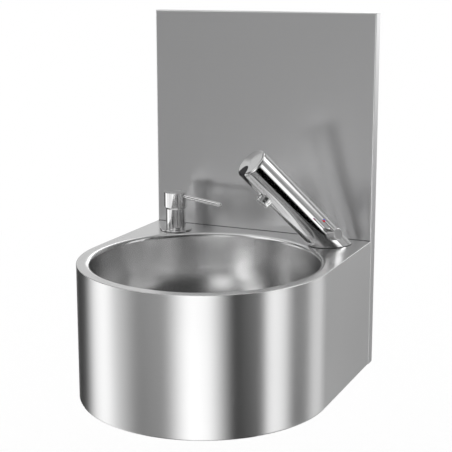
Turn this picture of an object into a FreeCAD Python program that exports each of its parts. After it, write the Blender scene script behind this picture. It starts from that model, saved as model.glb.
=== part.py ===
# Wall-hung stainless steel hand wash sink with a soap pump and a touch-free mixer tap.
#
# Millimetres. The wall is the plane Y = 0 and the user stands at -Y, X runs to the user's right,
# and Z = 0 is the top of the deck, the height that an installer sets out from.
import FreeCAD
import Part
import math
import os

# ---------------------------------------------------------------- driving dimensions
# Sheet-metal body
SHEET = 1.2                 # stainless sheet of the bowl, deck, apron and panel
WIDTH = 400.0               # overall width; the front is a half circle of this diameter
PANEL_DEPTH = 20.0          # splashback panel, from its face to the wall
PANEL_ABOVE = 375.0         # splashback above the deck
APRON_HEIGHT = 215.0        # deck down to the bottom of the apron and of the panel
BOWL_SETBACK = 220.0        # panel face to the bowl's axis
FOLD = 2.0                  # outer radius of the panel's folds
EDGE = 0.8                  # ground edge between deck and apron
APRON_LIP = 14.0            # folded lip along the apron's bottom
APRON_FOLD = 2.5            # outer radius of that fold
PANEL_LIP = 12.0            # lip of the panel's returns on the wall

# Bowl
RIM_LAND = 13.0             # flat land between the rolled rim and the apron
RIM_BEND = 7.0              # rolled rim, seen from above
BOWL_DEPTH = 146.0          # deck to the corner where wall and bottom meet
WALL_TAPER = 6.0            # degrees
CORNER_BEND = 100.0         # pressed corner between wall and bottom
BOTTOM_FALL = 7.0           # fall of the bottom towards the drain
DRAIN_RECESS_RADIUS = 31.0
DRAIN_RECESS_DEPTH = 3.5
DRAIN_HOLE_RADIUS = 22.0
RECESS_TAPER = 1.0          # step of the recess's wall, seen from above
RECESS_BEND = 1.5

# Openings of the panel below the deck
SERVICE_WIDTH = 210.0
SERVICE_TOP = 75.0          # below the deck
SERVICE_BOTTOM = 195.0      # below the deck
SERVICE_CORNER = 15.0

# Wall fixings: four holes on a rectangle about the origin
FIX_HALF_WIDTH = 140.0
FIX_HALF_HEIGHT = 150.0
FIX_HOLE_RADIUS = 4.5
ACCESS_RADIUS = 11.0        # screwdriver hole in the panel's face
RAIL = 1.5                  # sheet of the wall brackets
RAIL_HALF_LENGTH = 160.0
BRACKET_HALF_HEIGHT = 15.0  # wall bracket, above and below its screws
HOOK_HEIGHT = 25.0
HANGER_FLANGE = 30.0        # welded flange above the hook
BRACKET_STANDOFF = 13.0     # wall to the bracket's hook
HANGER_STANDOFF = 10.0      # wall to the hanger's hook
CHANNEL_HALF_WIDTH = 20.0
CHANNEL_HALF_HEIGHT = 20.0
CHANNEL_FOLD = 2.5

# Waste
SEAL = 1.5                  # flat seals of the waste
STRAINER_RADIUS = 29.0
STRAINER_THICKNESS = 2.0
STRAINER_HOLE_RADIUS = 3.0
STRAINER_INNER_RING = 10.5
STRAINER_OUTER_RING = 19.5
STRAINER_COUNT = 6          # holes of the inner ring; the outer ring has twice as many
WASTE_SCREW_RADIUS = 2.9
WASTE_SCREW_HEAD_RADIUS = 5.5
WASTE_SCREW_LENGTH = 24.0
WASTE_SCREW_HEAD = 2.4      # height of its head
WASTE_SCREW_CROWN = 1.6     # rounding of its head
SLOT_HALF_WIDTH = 0.6
SLOT_DEPTH = 1.0
TAIL_RADIUS = 20.95         # G 1 1/4 thread
TAIL_BORE_RADIUS = 17.5
TAIL_LENGTH = 44.0
WASTE_FLANGE_RADIUS = 33.0
WASTE_FLANGE_THICKNESS = 3.0
BRIDGE_DEPTH = 12.0
BRIDGE_BOSS_RADIUS = 6.5
BRIDGE_RIB = 3.5

# Soap pump
PUMP_TO_BOWL = 36.0         # from the bowl's wall to the pump's axis
PUMP_SETBACK = 53.0         # from the panel's face
PUMP_HOLE_RADIUS = 14.0
COLLAR_FLANGE_RADIUS = 27.7
COLLAR_FLANGE_HEIGHT = 3.2
COLLAR_EDGE = 1.2
COLLAR_SEAL_HEIGHT = 0.6
SLEEVE_RADIUS = 16.9
SLEEVE_BORE_RADIUS = 14.6
SLEEVE_TOP = 41.0
SEAT_HEIGHT = 6.0           # step in the collar that carries the shank
SHANK_RADIUS = 13.0
SHANK_BORE_RADIUS = 10.6
SHANK_BOTTOM = 55.0         # below the deck
RIM_STEP = 3.0              # flanges of the shank and of the cylinder
CYLINDER_BORE_RADIUS = 7.4
CYLINDER_BOTTOM = 46.0      # below the deck
CYLINDER_FLOOR = 3.0
GLAND_HEIGHT = 6.0
STEM_RADIUS = 3.0
STEM_BORE_RADIUS = 1.4
STEM_SHORT = 2.4            # stem's top below the head's ceiling
PISTON_TOP = 6.0            # below the deck
PISTON_HEIGHT = 6.0
RUNNING_FIT = 0.05          # radial, sliding and turning parts
PUMP_TRAVEL = 14.0
TRAVEL_SPARE = 1.4          # left between head and sleeve when it is pressed down
SPRING_RADIUS = 5.6         # to the middle of the wire
SPRING_WIRE_RADIUS = 0.5
SPRING_TURNS = 7
BALL_RADIUS = 2.6
NOZZLE_RADIUS = 2.4
NOZZLE_BORE_RADIUS = 1.3
NOZZLE_LENGTH = 10.0
DIP_TUBE_WALL = 0.8
DIP_TUBE_BOTTOM = 192.0     # below the deck
PUMP_NUT_RADIUS = 23.0
PUMP_NUT_HEIGHT = 12.0
GRIP_COUNT = 6              # grip scallops of the nut
GRIP_RADIUS = 7.0
GRIP_OFFSET = 4.0           # from the nut's rim out to the middle of a scallop
GRIP_FLANGE = 3.0           # plain flange above the scallops
PUMP_WASHER_RADIUS = 25.0
PUMP_WASHER_HEIGHT = 3.0
BOTTLE_WALL = 1.5
BOTTLE_NECK_TOP = 30.0      # below the deck
BOTTLE_SHOULDER = 54.0      # below the deck
BOTTLE_BOTTOM = 200.0       # below the deck
BOTTLE_RADIUS = 31.0
BOTTLE_NECK_BEND = 2.0
BOTTLE_SHOULDER_FALL = 6.0
BOTTLE_SHOULDER_BEND = 9.0
BOTTLE_FOOT_BEND = 7.0
BOTTLE_PUSH_UP = 2.0        # rise of the bottom's middle
HEAD_RADIUS = 20.1
HEAD_CROWN = 10.4           # thickness of the head's solid top
HEAD_OVERLAP = 3.4          # head's skirt below the sleeve's top
HEAD_CHAMFER = 3.4
HEAD_LIP = 0.4              # thickness of the head's lower lip
HEAD_PLAY = 0.4             # radial, head over sleeve
HEAD_BOSS_RADIUS = 6.5
HEAD_BOSS_LENGTH = 9.9
SPOUT_RADIUS = 4.0
SPOUT_WALL = 1.0
SPOUT_RISE = 5.2            # spout's axis above the head's ceiling, at the pump's axis
SPOUT_START = 2.0           # from the pump's axis to the tube's inner end
SPOUT_REACH = 100.0         # from the pump's axis to the tip
SPOUT_FALL = 3.0            # degrees
SPOUT_HEADING = -15.0       # degrees from +X, towards the user
SPOUT_TIP_RADIUS = 4.6
OUTLET_RADIUS = 2.0

# Tap
TAP_TO_BOWL = 46.5          # from the bowl's wall to the tap's foot
TAP_SETBACK = 46.0          # from the panel's face
TAP_LEAN = 45.0             # degrees above the deck
TAP_RADIUS = 27.0
TAP_WALL = 3.5
TAP_LENGTH = 205.0          # along its axis, from the deck to the end cap's joint
TAP_WEB = 5.5               # solid foot above the base seal
FOOT_SOCKET = 4.5           # top of the inlet and stud sockets in the foot, above the deck
INNER_GAP = 0.3             # between the inner pieces and the tube that carries them
TAP_SEAL_HEIGHT = 1.0
TAP_SEAL_INSET = 0.6
TAP_HOLE_RADIUS = 17.5
DOUBLER_RADIUS = 30.0
DOUBLER_THICKNESS = 2.0
CAP_HEIGHT = 4.6
CAP_CROWN = 0.8
CAP_EDGE = 3.4
SPIGOT_DEPTH = 8.0
SPIGOT_PLAY = 0.1
AERATOR_SETBACK = 57.5      # from the end cap's joint, along the tap's axis
AERATOR_RADIUS = 12.5
AERATOR_PROUD = 7.5         # beyond the tube
AERATOR_BOSS_RADIUS = 13.6
AERATOR_BOSS_PROUD = 2.0
AERATOR_THREAD_RADIUS = 11.0
AERATOR_BORE_RADIUS = 9.4
AERATOR_WALL_DEPTH = 5.0    # thickness of the insert
AERATOR_INSET = 0.8         # insert's face inside the housing's mouth
AERATOR_HOLE_RADIUS = 1.2
AERATOR_INNER_RING = 3.0
AERATOR_OUTER_RING = 6.4
AERATOR_COUNT = 6           # holes of the inner ring; the outer ring has twice as many
SENSOR_AIM = 52.0           # degrees of the window's look-out below the tap's axis
SENSOR_HALF_WIDTH = 10.5
SENSOR_HALF_LENGTH = 21.5
EGG_BLUNT = 0.62            # height of the egg's blunt end, share of its half length
EGG_FULLNESS = 0.45         # handles of the curves that run to the narrow end
EGG_POINT = 0.35
SENSOR_THICKNESS = 2.6
SENSOR_INWARD = 32.0        # reach of its outline into the tube and out of it
SENSOR_OUTWARD = 12.0
SENSOR_PLAY = 0.1
LEVER_STATION = 27.0        # along the tap's axis
LEVER_RISE = 15.0           # degrees above the tube's side
LEVER_SEAT_RADIUS = 10.2
LEVER_SEAT_PROUD = 1.4
LEVER_GAP = 0.3
HUB_RADIUS = 9.6
HUB_PROUD = 16.5
HUB_EDGE = 1.2
SPINDLE_RADIUS = 5.0
SPINDLE_DEPTH = 12.0        # into the cartridge, from the tube's surface
LEVER_PIN_RADIUS = 2.0
LEVER_PIN_PROUD = 13.3
LEVER_PIN_REACH = 36.5
MARK_RADIUS = 2.4
MARK_LENGTH = 3.0
CARTRIDGE_RADIUS = 9.5
CARTRIDGE_BACK = 16.0       # beyond the tube's axis
SOLENOID_RADIUS = 14.0
SOLENOID_START = 62.0
SOLENOID_LENGTH = 44.0
SOLENOID_FLANGE = 10.0      # length of the collar that holds it in the tube
CHANNEL_PIPE_RADIUS = 7.0
CHANNEL_PIPE_BORE = 5.0
MODULE_RADIUS = 19.0
MODULE_LENGTH = 30.7
INLET_SPREAD = 8.5
INLET_RADIUS = 6.0
INLET_BORE_RADIUS = 4.45    # M10 x 1 socket
INLET_BOTTOM = 26.0         # below the deck
STUD_SPREAD = 12.0
STUD_RADIUS = 3.9
STUD_BOTTOM = 44.0          # below the deck
CLAMP_RADIUS = 26.0
CLAMP_SEAL_HEIGHT = 3.0
CLAMP_PLATE_HEIGHT = 3.0
CLAMP_PLAY = 0.4            # round the inlets and the studs in the clamp plate
CLAMP_SLOT_CORNER = 4.0
NUT_ACROSS_FLATS = 13.0
NUT_HEIGHT = 6.5
PART_PLAY = 0.05            # radial, pieces of one body that fit in each other
TURNED_EDGE = 0.6           # broken edge of a turned piece
CHROME_EDGE = 0.8           # softened edge of a plated piece
MOULDED_EDGE = 1.5

# ---------------------------------------------------------------- places worked out from them
UP = FreeCAD.Vector(0, 0, 1)
RIGHT = FreeCAD.Vector(1, 0, 0)
BACK = FreeCAD.Vector(0, 1, 0)
HALF = WIDTH / 2
PANEL_FACE = -PANEL_DEPTH
PANEL_BACK = PANEL_FACE + SHEET
BOWL_RADIUS = HALF - RIM_LAND - RIM_BEND    # wall of the bowl just under the rim
BOWL_AXIS = FreeCAD.Vector(0, PANEL_FACE - BOWL_SETBACK, 0)


def beside_bowl(side, setback, reach):
    """The place on the deck that lies setback from the panel and reach from the bowl's wall."""
    across = math.sqrt((BOWL_RADIUS + reach) ** 2 - (BOWL_SETBACK - setback) ** 2)
    return FreeCAD.Vector(side * across, PANEL_FACE - setback, 0)


PUMP = beside_bowl(-1, PUMP_SETBACK, PUMP_TO_BOWL)
TAP = beside_bowl(1, TAP_SETBACK, TAP_TO_BOWL)
HEAD_CEILING = SLEEVE_TOP + PUMP_TRAVEL + TRAVEL_SPARE
HEAD_TOP = HEAD_CEILING + HEAD_CROWN
HEAD_BOTTOM = SLEEVE_TOP - HEAD_OVERLAP
HEAD_BOSS_BOTTOM = HEAD_CEILING - HEAD_BOSS_LENGTH
STEM_TOP = HEAD_CEILING - STEM_SHORT
SPOUT_ROOT = HEAD_CEILING + SPOUT_RISE
DRAIN_FLOOR = -BOWL_DEPTH - BOTTOM_FALL - DRAIN_RECESS_DEPTH
DRAIN_UNDERSIDE = DRAIN_FLOOR - SHEET

HEADING = (BOWL_AXIS - TAP).normalize()
SIDE = UP.cross(HEADING)
LEAN = math.radians(TAP_LEAN)
ALONG = HEADING * math.cos(LEAN) + UP * math.sin(LEAN)
UNDER = HEADING * math.sin(LEAN) - UP * math.cos(LEAN)
RISE = math.radians(LEVER_RISE)
LEVER_AXIS = SIDE * math.cos(RISE) - UNDER * math.sin(RISE)
LEVER_FOOT = TAP + ALONG * LEVER_STATION
TAP_BORE_RADIUS = TAP_RADIUS - TAP_WALL
AERATOR_STATION = TAP_LENGTH - AERATOR_SETBACK
FAR = 2 * WIDTH + PANEL_ABOVE   # longer than anything here, for cutting tools
OVERCUT = 1.0               # reach of a cutting tool beyond the face it cuts
HALF_TURN = 180.0           # degrees


# ---------------------------------------------------------------- shape helpers
def vec(x, y, z):
    return FreeCAD.Vector(x, y, z)


def rod(radius, start, stop, foot, axis=UP):
    """A round bar from start to stop along the axis through foot."""
    return Part.makeCylinder(radius, stop - start, foot + axis * start, axis)


def ring(outer, inner, start, stop, foot, axis=UP):
    """A tube from start to stop along the axis through foot."""
    return rod(outer, start, stop, foot, axis).cut(rod(inner, start, stop, foot, axis))


def outline(corners, place):
    """A closed wire through corners (across, up, radius), each rounded by its radius."""
    flat = [FreeCAD.Vector(across, up, 0) for across, up, _ in corners]
    stops = []
    for i, (_, _, radius) in enumerate(corners):
        here, before, after = flat[i], flat[i - 1], flat[(i + 1) % len(flat)]
        if radius <= 0:
            stops.append((here, None, here))
            continue
        back, ahead = (before - here).normalize(), (after - here).normalize()
        half = back.getAngle(ahead) / 2
        centre = here + (back + ahead).normalize() * (radius / math.sin(half))
        reach = radius / math.tan(half)
        middle = centre + (here - centre).normalize() * radius
        stops.append((here + back * reach, middle, here + ahead * reach))
    edges = []
    for i, (first, middle, last) in enumerate(stops):
        if middle is not None:
            edges.append(Part.Arc(place(first), place(middle), place(last)).toShape())
        following = stops[(i + 1) % len(stops)][0]
        if (following - last).Length > 1e-6:
            edges.append(Part.LineSegment(place(last), place(following)).toShape())
    return Part.Wire(edges)


def sheet_corners(path, thickness):
    """The corners of a bent sheet: the path, and back along it one thickness to its left."""
    flat = [FreeCAD.Vector(across, up, 0) for across, up, _ in path]
    runs = [(after - before).normalize() for before, after in zip(flat, flat[1:])]
    lefts = [FreeCAD.Vector(-run.y, run.x, 0) for run in runs]
    back = []
    for i, (_, _, radius) in enumerate(path):
        if i == 0 or i == len(path) - 1:
            moved = flat[i] + lefts[min(i, len(lefts) - 1)] * thickness
            back.append((moved.x, moved.y, 0))
            continue
        bisector = (lefts[i - 1] + lefts[i]).normalize()
        moved = flat[i] + bisector * (thickness / bisector.dot(lefts[i]))
        turn = runs[i - 1].cross(runs[i]).z
        inner = radius - thickness if turn > 0 else radius + thickness
        back.append((moved.x, moved.y, max(inner, 0) if radius > 0 else 0))
    return list(path) + back[::-1]


def lathe(corners, foot, axis=UP, start=0.0, turn=360.0):
    """The outline (radius, height, rounding) turned about the axis through foot."""
    profile = outline(corners, lambda p: vec(p.x, 0, p.y))
    turned = Part.Face(profile).revolve(vec(0, 0, 0), UP, turn)
    turned.rotate(vec(0, 0, 0), UP, start)
    turned.Placement = FreeCAD.Placement(foot, FreeCAD.Rotation(UP, axis)) * turned.Placement
    return turned


def bar(corners, origin, across, up, length):
    """The outline in the plane of across and up, extruded by the vector length."""
    profile = outline(corners, lambda p: origin + across * p.x + up * p.y)
    return Part.Face(profile).extrude(length)


def box(low, high):
    return Part.makeBox(high.x - low.x, high.y - low.y, high.z - low.z, low)


def export(name, shape):
    shape.exportStep("parts/" + name + ".step")


# ---------------------------------------------------------------- sheet-metal body
def make_bowl():
    wall_foot = BOWL_RADIUS - BOWL_DEPTH * math.tan(math.radians(WALL_TAPER))
    recess_edge = -BOWL_DEPTH - BOTTOM_FALL
    inside = [
        (BOWL_RADIUS + RIM_BEND, 0, 0),
        (BOWL_RADIUS, 0, RIM_BEND),
        (wall_foot, -BOWL_DEPTH, CORNER_BEND),
        (DRAIN_RECESS_RADIUS, recess_edge, RECESS_BEND),
        (DRAIN_RECESS_RADIUS - RECESS_TAPER, DRAIN_FLOOR, RECESS_BEND),
        (DRAIN_HOLE_RADIUS, DRAIN_FLOOR, 0),
    ]
    return lathe(sheet_corners(inside, SHEET), BOWL_AXIS)


def make_deck():
    plate = rod(HALF, -SHEET, 0, BOWL_AXIS)
    straight = box(vec(-HALF, BOWL_AXIS.y, -SHEET), vec(HALF, PANEL_FACE, 0))
    plate = plate.fuse(straight).removeSplitter()
    rim = [e for e in plate.Edges
           if e.BoundBox.ZMin > -EDGE / 2 and e.BoundBox.YMin < PANEL_FACE - SHEET]
    plate = plate.makeFillet(EDGE, rim)
    plate = plate.cut(rod(BOWL_RADIUS + RIM_BEND, -SHEET, 0, BOWL_AXIS))
    plate = plate.cut(rod(PUMP_HOLE_RADIUS, -SHEET, 0, PUMP))
    return plate.cut(rod(TAP_HOLE_RADIUS, -SHEET, 0, TAP))


def make_apron():
    """One bent sheet section, turned round the front and run straight back to the panel."""
    path = [(HALF - APRON_LIP, -APRON_HEIGHT, 0), (HALF, -APRON_HEIGHT, APRON_FOLD), (HALF, -SHEET, 0)]
    section = sheet_corners(path, SHEET)
    apron = lathe(section, BOWL_AXIS, start=HALF_TURN, turn=HALF_TURN)
    for side in (1, -1):
        run = bar(section, BOWL_AXIS, RIGHT * side, UP, BACK * BOWL_SETBACK)
        apron = apron.fuse(run)
    return apron.removeSplitter()


def rounded_opening(half_width, low, high, corner):
    corners = [(-half_width, low, corner), (half_width, low, corner),
               (half_width, high, corner), (-half_width, high, corner)]
    return bar(corners, vec(0, PANEL_FACE - OVERCUT, 0), RIGHT, UP, BACK * (SHEET + 2 * OVERCUT))


def make_splashback():
    """A shallow folded pan, open towards the wall inside its lips."""
    low, high = vec(-HALF, PANEL_FACE, -APRON_HEIGHT), vec(HALF, 0, PANEL_ABOVE)
    pan = box(low, high)
    front = [e for e in pan.Edges if e.BoundBox.YMax < PANEL_FACE + SHEET]
    pan = pan.makeFillet(FOLD, front)
    inset = vec(SHEET, SHEET, SHEET)
    hollow = box(low + inset, high - inset)
    fold_in = [e for e in hollow.Edges if e.BoundBox.YMax < PANEL_BACK + SHEET]
    pan = pan.cut(hollow.makeFillet(FOLD - SHEET, fold_in))
    lip = vec(PANEL_LIP, 0, PANEL_LIP)
    pan = pan.cut(box(low + lip + BACK * (PANEL_DEPTH / 2), high - lip))
    pan = pan.cut(rounded_opening(SERVICE_WIDTH / 2, -SERVICE_BOTTOM, -SERVICE_TOP, SERVICE_CORNER))
    for side in (-1, 1):
        access = vec(side * FIX_HALF_WIDTH, PANEL_FACE, -FIX_HALF_HEIGHT)
        pan = pan.cut(rod(ACCESS_RADIUS, -OVERCUT, SHEET + OVERCUT, access, BACK))
    return pan


def fixing_holes(shape, height):
    for side in (-1, 1):
        place = vec(side * FIX_HALF_WIDTH, 0, height)
        shape = shape.cut(rod(FIX_HOLE_RADIUS, -RAIL - OVERCUT, OVERCUT, place, BACK))
    return shape


def make_wall_bracket():
    """A Z-section: the flange lies on the wall and the hook stands up in front of it."""
    shelf = FIX_HALF_HEIGHT + BRACKET_HALF_HEIGHT
    path = [(0, FIX_HALF_HEIGHT - BRACKET_HALF_HEIGHT, 0), (0, shelf, RAIL * 2),
            (-BRACKET_STANDOFF, shelf, RAIL), (-BRACKET_STANDOFF, shelf + HOOK_HEIGHT, 0)]
    section = sheet_corners(path, RAIL)
    start = vec(-RAIL_HALF_LENGTH, 0, 0)
    bracket = bar(section, start, BACK, UP, RIGHT * (2 * RAIL_HALF_LENGTH))
    return fixing_holes(bracket, FIX_HALF_HEIGHT)


def make_hanger_rail():
    """A Z-section welded behind the panel: its hook hangs down behind the bracket's."""
    seat = FIX_HALF_HEIGHT + BRACKET_HALF_HEIGHT + HOOK_HEIGHT
    path = [(PANEL_BACK, seat + HANGER_FLANGE, 0), (PANEL_BACK, seat, RAIL),
            (-HANGER_STANDOFF, seat, RAIL * 2), (-HANGER_STANDOFF, seat - HOOK_HEIGHT + RAIL * 3, 0)]
    section = sheet_corners(path, RAIL)
    start = vec(-RAIL_HALF_LENGTH, 0, 0)
    return bar(section, start, BACK, UP, RIGHT * (2 * RAIL_HALF_LENGTH))


def make_lower_wall_channels():
    channels = []
    for side in (-1, 1):
        path = [(PANEL_BACK, -CHANNEL_HALF_HEIGHT, 0), (0, -CHANNEL_HALF_HEIGHT, CHANNEL_FOLD),
                (0, CHANNEL_HALF_HEIGHT, CHANNEL_FOLD), (PANEL_BACK, CHANNEL_HALF_HEIGHT, 0)]
        start = vec(side * FIX_HALF_WIDTH - CHANNEL_HALF_WIDTH, 0, -FIX_HALF_HEIGHT)
        channel = bar(sheet_corners(path, RAIL), start, BACK, UP, RIGHT * (2 * CHANNEL_HALF_WIDTH))
        channels.append(fixing_holes(channel, -FIX_HALF_HEIGHT))
    return Part.makeCompound(channels)


def make_tap_doubler():
    return ring(DOUBLER_RADIUS, TAP_HOLE_RADIUS, -SHEET - DOUBLER_THICKNESS, -SHEET, TAP)


# ---------------------------------------------------------------- waste
def hole_rings(shape, rings, radius, start, stop, foot, axis=UP, first=RIGHT):
    """Cuts rings of round holes about the axis through foot."""
    for ring_radius, count in rings:
        for k in range(count):
            place = FreeCAD.Rotation(axis, 360.0 * k / count).multVec(first * ring_radius)
            shape = shape.cut(rod(radius, start, stop, foot + place, axis))
    return shape


def make_strainer():
    """A flat grating in the drain recess, its edge turned down on the seal."""
    top = DRAIN_FLOOR + SEAL + STRAINER_THICKNESS
    corners = [(WASTE_SCREW_RADIUS + PART_PLAY, top - STRAINER_THICKNESS, 0),
               (STRAINER_RADIUS, top - STRAINER_THICKNESS, 0),
               (STRAINER_RADIUS, top, STRAINER_THICKNESS / 2),
               (WASTE_SCREW_RADIUS + PART_PLAY, top, 0)]
    plate = lathe(corners, BOWL_AXIS)
    rings = ((STRAINER_INNER_RING, STRAINER_COUNT), (STRAINER_OUTER_RING, 2 * STRAINER_COUNT))
    low = top - STRAINER_THICKNESS - OVERCUT
    return hole_rings(plate, rings, STRAINER_HOLE_RADIUS, low, top + OVERCUT, BOWL_AXIS)


def make_strainer_screw():
    seat = DRAIN_FLOOR + SEAL + STRAINER_THICKNESS
    top = seat + WASTE_SCREW_HEAD
    corners = [(0, seat - WASTE_SCREW_LENGTH, 0), (WASTE_SCREW_RADIUS, seat - WASTE_SCREW_LENGTH, 0),
               (WASTE_SCREW_RADIUS, seat, 0), (WASTE_SCREW_HEAD_RADIUS, seat, 0),
               (WASTE_SCREW_HEAD_RADIUS, top, WASTE_SCREW_CROWN), (0, top, 0)]
    slot = box(vec(-WASTE_SCREW_HEAD_RADIUS, -SLOT_HALF_WIDTH, top - SLOT_DEPTH),
               vec(WASTE_SCREW_HEAD_RADIUS, SLOT_HALF_WIDTH, top + OVERCUT))
    slot.translate(BOWL_AXIS)
    return lathe(corners, BOWL_AXIS).cut(slot)


def make_strainer_seal():
    return ring(STRAINER_RADIUS - SEAL, DRAIN_HOLE_RADIUS, DRAIN_FLOOR, DRAIN_FLOOR + SEAL, BOWL_AXIS)


def make_waste_seal():
    low = DRAIN_UNDERSIDE - SEAL
    return ring(WASTE_FLANGE_RADIUS - SEAL, DRAIN_HOLE_RADIUS, low, DRAIN_UNDERSIDE, BOWL_AXIS)


def make_waste_body():
    """Flange, threaded tail and the ribbed bridge that takes the strainer screw."""
    top = DRAIN_UNDERSIDE - SEAL
    corners = [(TAIL_BORE_RADIUS, top, 0), (TAIL_BORE_RADIUS, top - TAIL_LENGTH, 0),
               (TAIL_RADIUS, top - TAIL_LENGTH, TURNED_EDGE), (TAIL_RADIUS, top - WASTE_FLANGE_THICKNESS, 0),
               (WASTE_FLANGE_RADIUS, top - WASTE_FLANGE_THICKNESS, TURNED_EDGE),
               (WASTE_FLANGE_RADIUS, top, 0)]
    body = lathe(corners, BOWL_AXIS)
    bridge_top = top - BRIDGE_RIB / 2
    bridge = rod(BRIDGE_BOSS_RADIUS, top - BRIDGE_DEPTH, bridge_top, BOWL_AXIS)
    for angle in (0, 120, 240):
        rib = box(vec(0, -BRIDGE_RIB / 2, top - BRIDGE_DEPTH),
                  vec(TAIL_BORE_RADIUS + OVERCUT, BRIDGE_RIB / 2, bridge_top))
        rib.rotate(vec(0, 0, 0), UP, angle)
        rib.translate(BOWL_AXIS)
        bridge = bridge.fuse(rib)
    bridge = bridge.cut(rod(WASTE_SCREW_RADIUS + PART_PLAY, top - FAR, top, BOWL_AXIS))
    return body.fuse(bridge).removeSplitter()


# ---------------------------------------------------------------- soap pump
def make_pump_collar():
    """The chrome flange and sleeve that stand on the deck, one turned piece."""
    foot = COLLAR_SEAL_HEIGHT
    corners = [(SHANK_RADIUS + PART_PLAY, foot, 0), (COLLAR_FLANGE_RADIUS, foot, 0),
               (COLLAR_FLANGE_RADIUS, COLLAR_FLANGE_HEIGHT, COLLAR_EDGE),
               (SLEEVE_RADIUS, COLLAR_FLANGE_HEIGHT, CHROME_EDGE),
               (SLEEVE_RADIUS, SLEEVE_TOP, TURNED_EDGE), (SLEEVE_BORE_RADIUS, SLEEVE_TOP, 0),
               (SLEEVE_BORE_RADIUS, SEAT_HEIGHT, 0), (SHANK_RADIUS + PART_PLAY, SEAT_HEIGHT, 0)]
    return lathe(corners, PUMP)


def make_pump_collar_seal():
    return ring(COLLAR_FLANGE_RADIUS - COLLAR_EDGE, PUMP_HOLE_RADIUS, 0, COLLAR_SEAL_HEIGHT, PUMP)


def make_pump_shank():
    rim = SLEEVE_BORE_RADIUS - PART_PLAY
    corners = [(SHANK_BORE_RADIUS, -SHANK_BOTTOM, 0), (SHANK_RADIUS, -SHANK_BOTTOM, TURNED_EDGE),
               (SHANK_RADIUS, SEAT_HEIGHT, 0), (rim, SEAT_HEIGHT, 0),
               (rim, SEAT_HEIGHT + RIM_STEP, 0), (SHANK_BORE_RADIUS, SEAT_HEIGHT + RIM_STEP, 0)]
    return lathe(corners, PUMP)


def make_pump_cylinder():
    """The pump chamber, hung in the shank by its rim, with the inlet nozzle at its foot."""
    wall = SHANK_BORE_RADIUS - PART_PLAY
    rim = SLEEVE_BORE_RADIUS - PART_PLAY
    seat = SEAT_HEIGHT + RIM_STEP
    floor = -CYLINDER_BOTTOM
    corners = [(NOZZLE_BORE_RADIUS, floor - NOZZLE_LENGTH, 0), (NOZZLE_RADIUS, floor - NOZZLE_LENGTH, 0),
               (NOZZLE_RADIUS, floor, 0), (wall, floor, MOULDED_EDGE), (wall, seat, 0), (rim, seat, 0),
               (rim, seat + RIM_STEP, 0), (CYLINDER_BORE_RADIUS, seat + RIM_STEP, 0),
               (CYLINDER_BORE_RADIUS, floor + CYLINDER_FLOOR, 0),
               (NOZZLE_BORE_RADIUS, floor + CYLINDER_FLOOR, 0)]
    return lathe(corners, PUMP)


def make_pump_gland():
    seat = SEAT_HEIGHT + 2 * RIM_STEP
    return ring(SLEEVE_BORE_RADIUS - PART_PLAY, STEM_RADIUS + RUNNING_FIT, seat, seat + GLAND_HEIGHT, PUMP)


def make_inlet_ball():
    """The ball rests on the nozzle's mouth."""
    seat = -CYLINDER_BOTTOM + CYLINDER_FLOOR
    rise = math.sqrt(BALL_RADIUS ** 2 - NOZZLE_BORE_RADIUS ** 2)
    return Part.makeSphere(BALL_RADIUS, PUMP + UP * (seat + rise))


def make_dip_tube():
    inner = NOZZLE_RADIUS + PART_PLAY
    return ring(inner + DIP_TUBE_WALL, inner, -DIP_TUBE_BOTTOM, -CYLINDER_BOTTOM, PUMP)


def make_pump_spring():
    """A round wire wound between the cylinder's floor and the piston, as quarter-turn arcs."""
    low = -CYLINDER_BOTTOM + CYLINDER_FLOOR + SPRING_WIRE_RADIUS
    high = -PISTON_TOP - PISTON_HEIGHT - SPRING_WIRE_RADIUS
    quarters = 4 * SPRING_TURNS

    def on_helix(step):
        angle = math.pi / 2 * step
        height = low + (high - low) * step / quarters
        return PUMP + vec(SPRING_RADIUS * math.cos(angle), SPRING_RADIUS * math.sin(angle), height)

    arcs = [Part.Arc(on_helix(k), on_helix(k + 0.5), on_helix(k + 1)).toShape() for k in range(quarters)]
    path = Part.Wire(arcs)
    start = arcs[0]
    tangent = start.tangentAt(start.FirstParameter)
    circle = Part.Wire(Part.makeCircle(SPRING_WIRE_RADIUS, on_helix(0), tangent))
    gap = (high - low) / SPRING_TURNS - 2 * SPRING_WIRE_RADIUS
    print("pump spring: %d turns, gap between turns %.2f mm" % (SPRING_TURNS, gap))
    return path.makePipeShell([circle], True, False)


def make_pump_stem():
    """Hollow rod with the piston at its foot."""
    low = -PISTON_TOP - PISTON_HEIGHT
    piston = CYLINDER_BORE_RADIUS - RUNNING_FIT
    corners = [(STEM_BORE_RADIUS, low, 0), (piston, low, TURNED_EDGE), (piston, -PISTON_TOP, TURNED_EDGE),
               (STEM_RADIUS, -PISTON_TOP, 0), (STEM_RADIUS, STEM_TOP, TURNED_EDGE),
               (STEM_BORE_RADIUS, STEM_TOP, 0)]
    return lathe(corners, PUMP)


def spout_line():
    """The root and the direction of the spout's axis."""
    heading = math.radians(SPOUT_HEADING)
    fall = math.radians(SPOUT_FALL)
    level = vec(math.cos(heading), math.sin(heading), 0)
    return PUMP + UP * SPOUT_ROOT, level * math.cos(fall) - UP * math.sin(fall)


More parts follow.
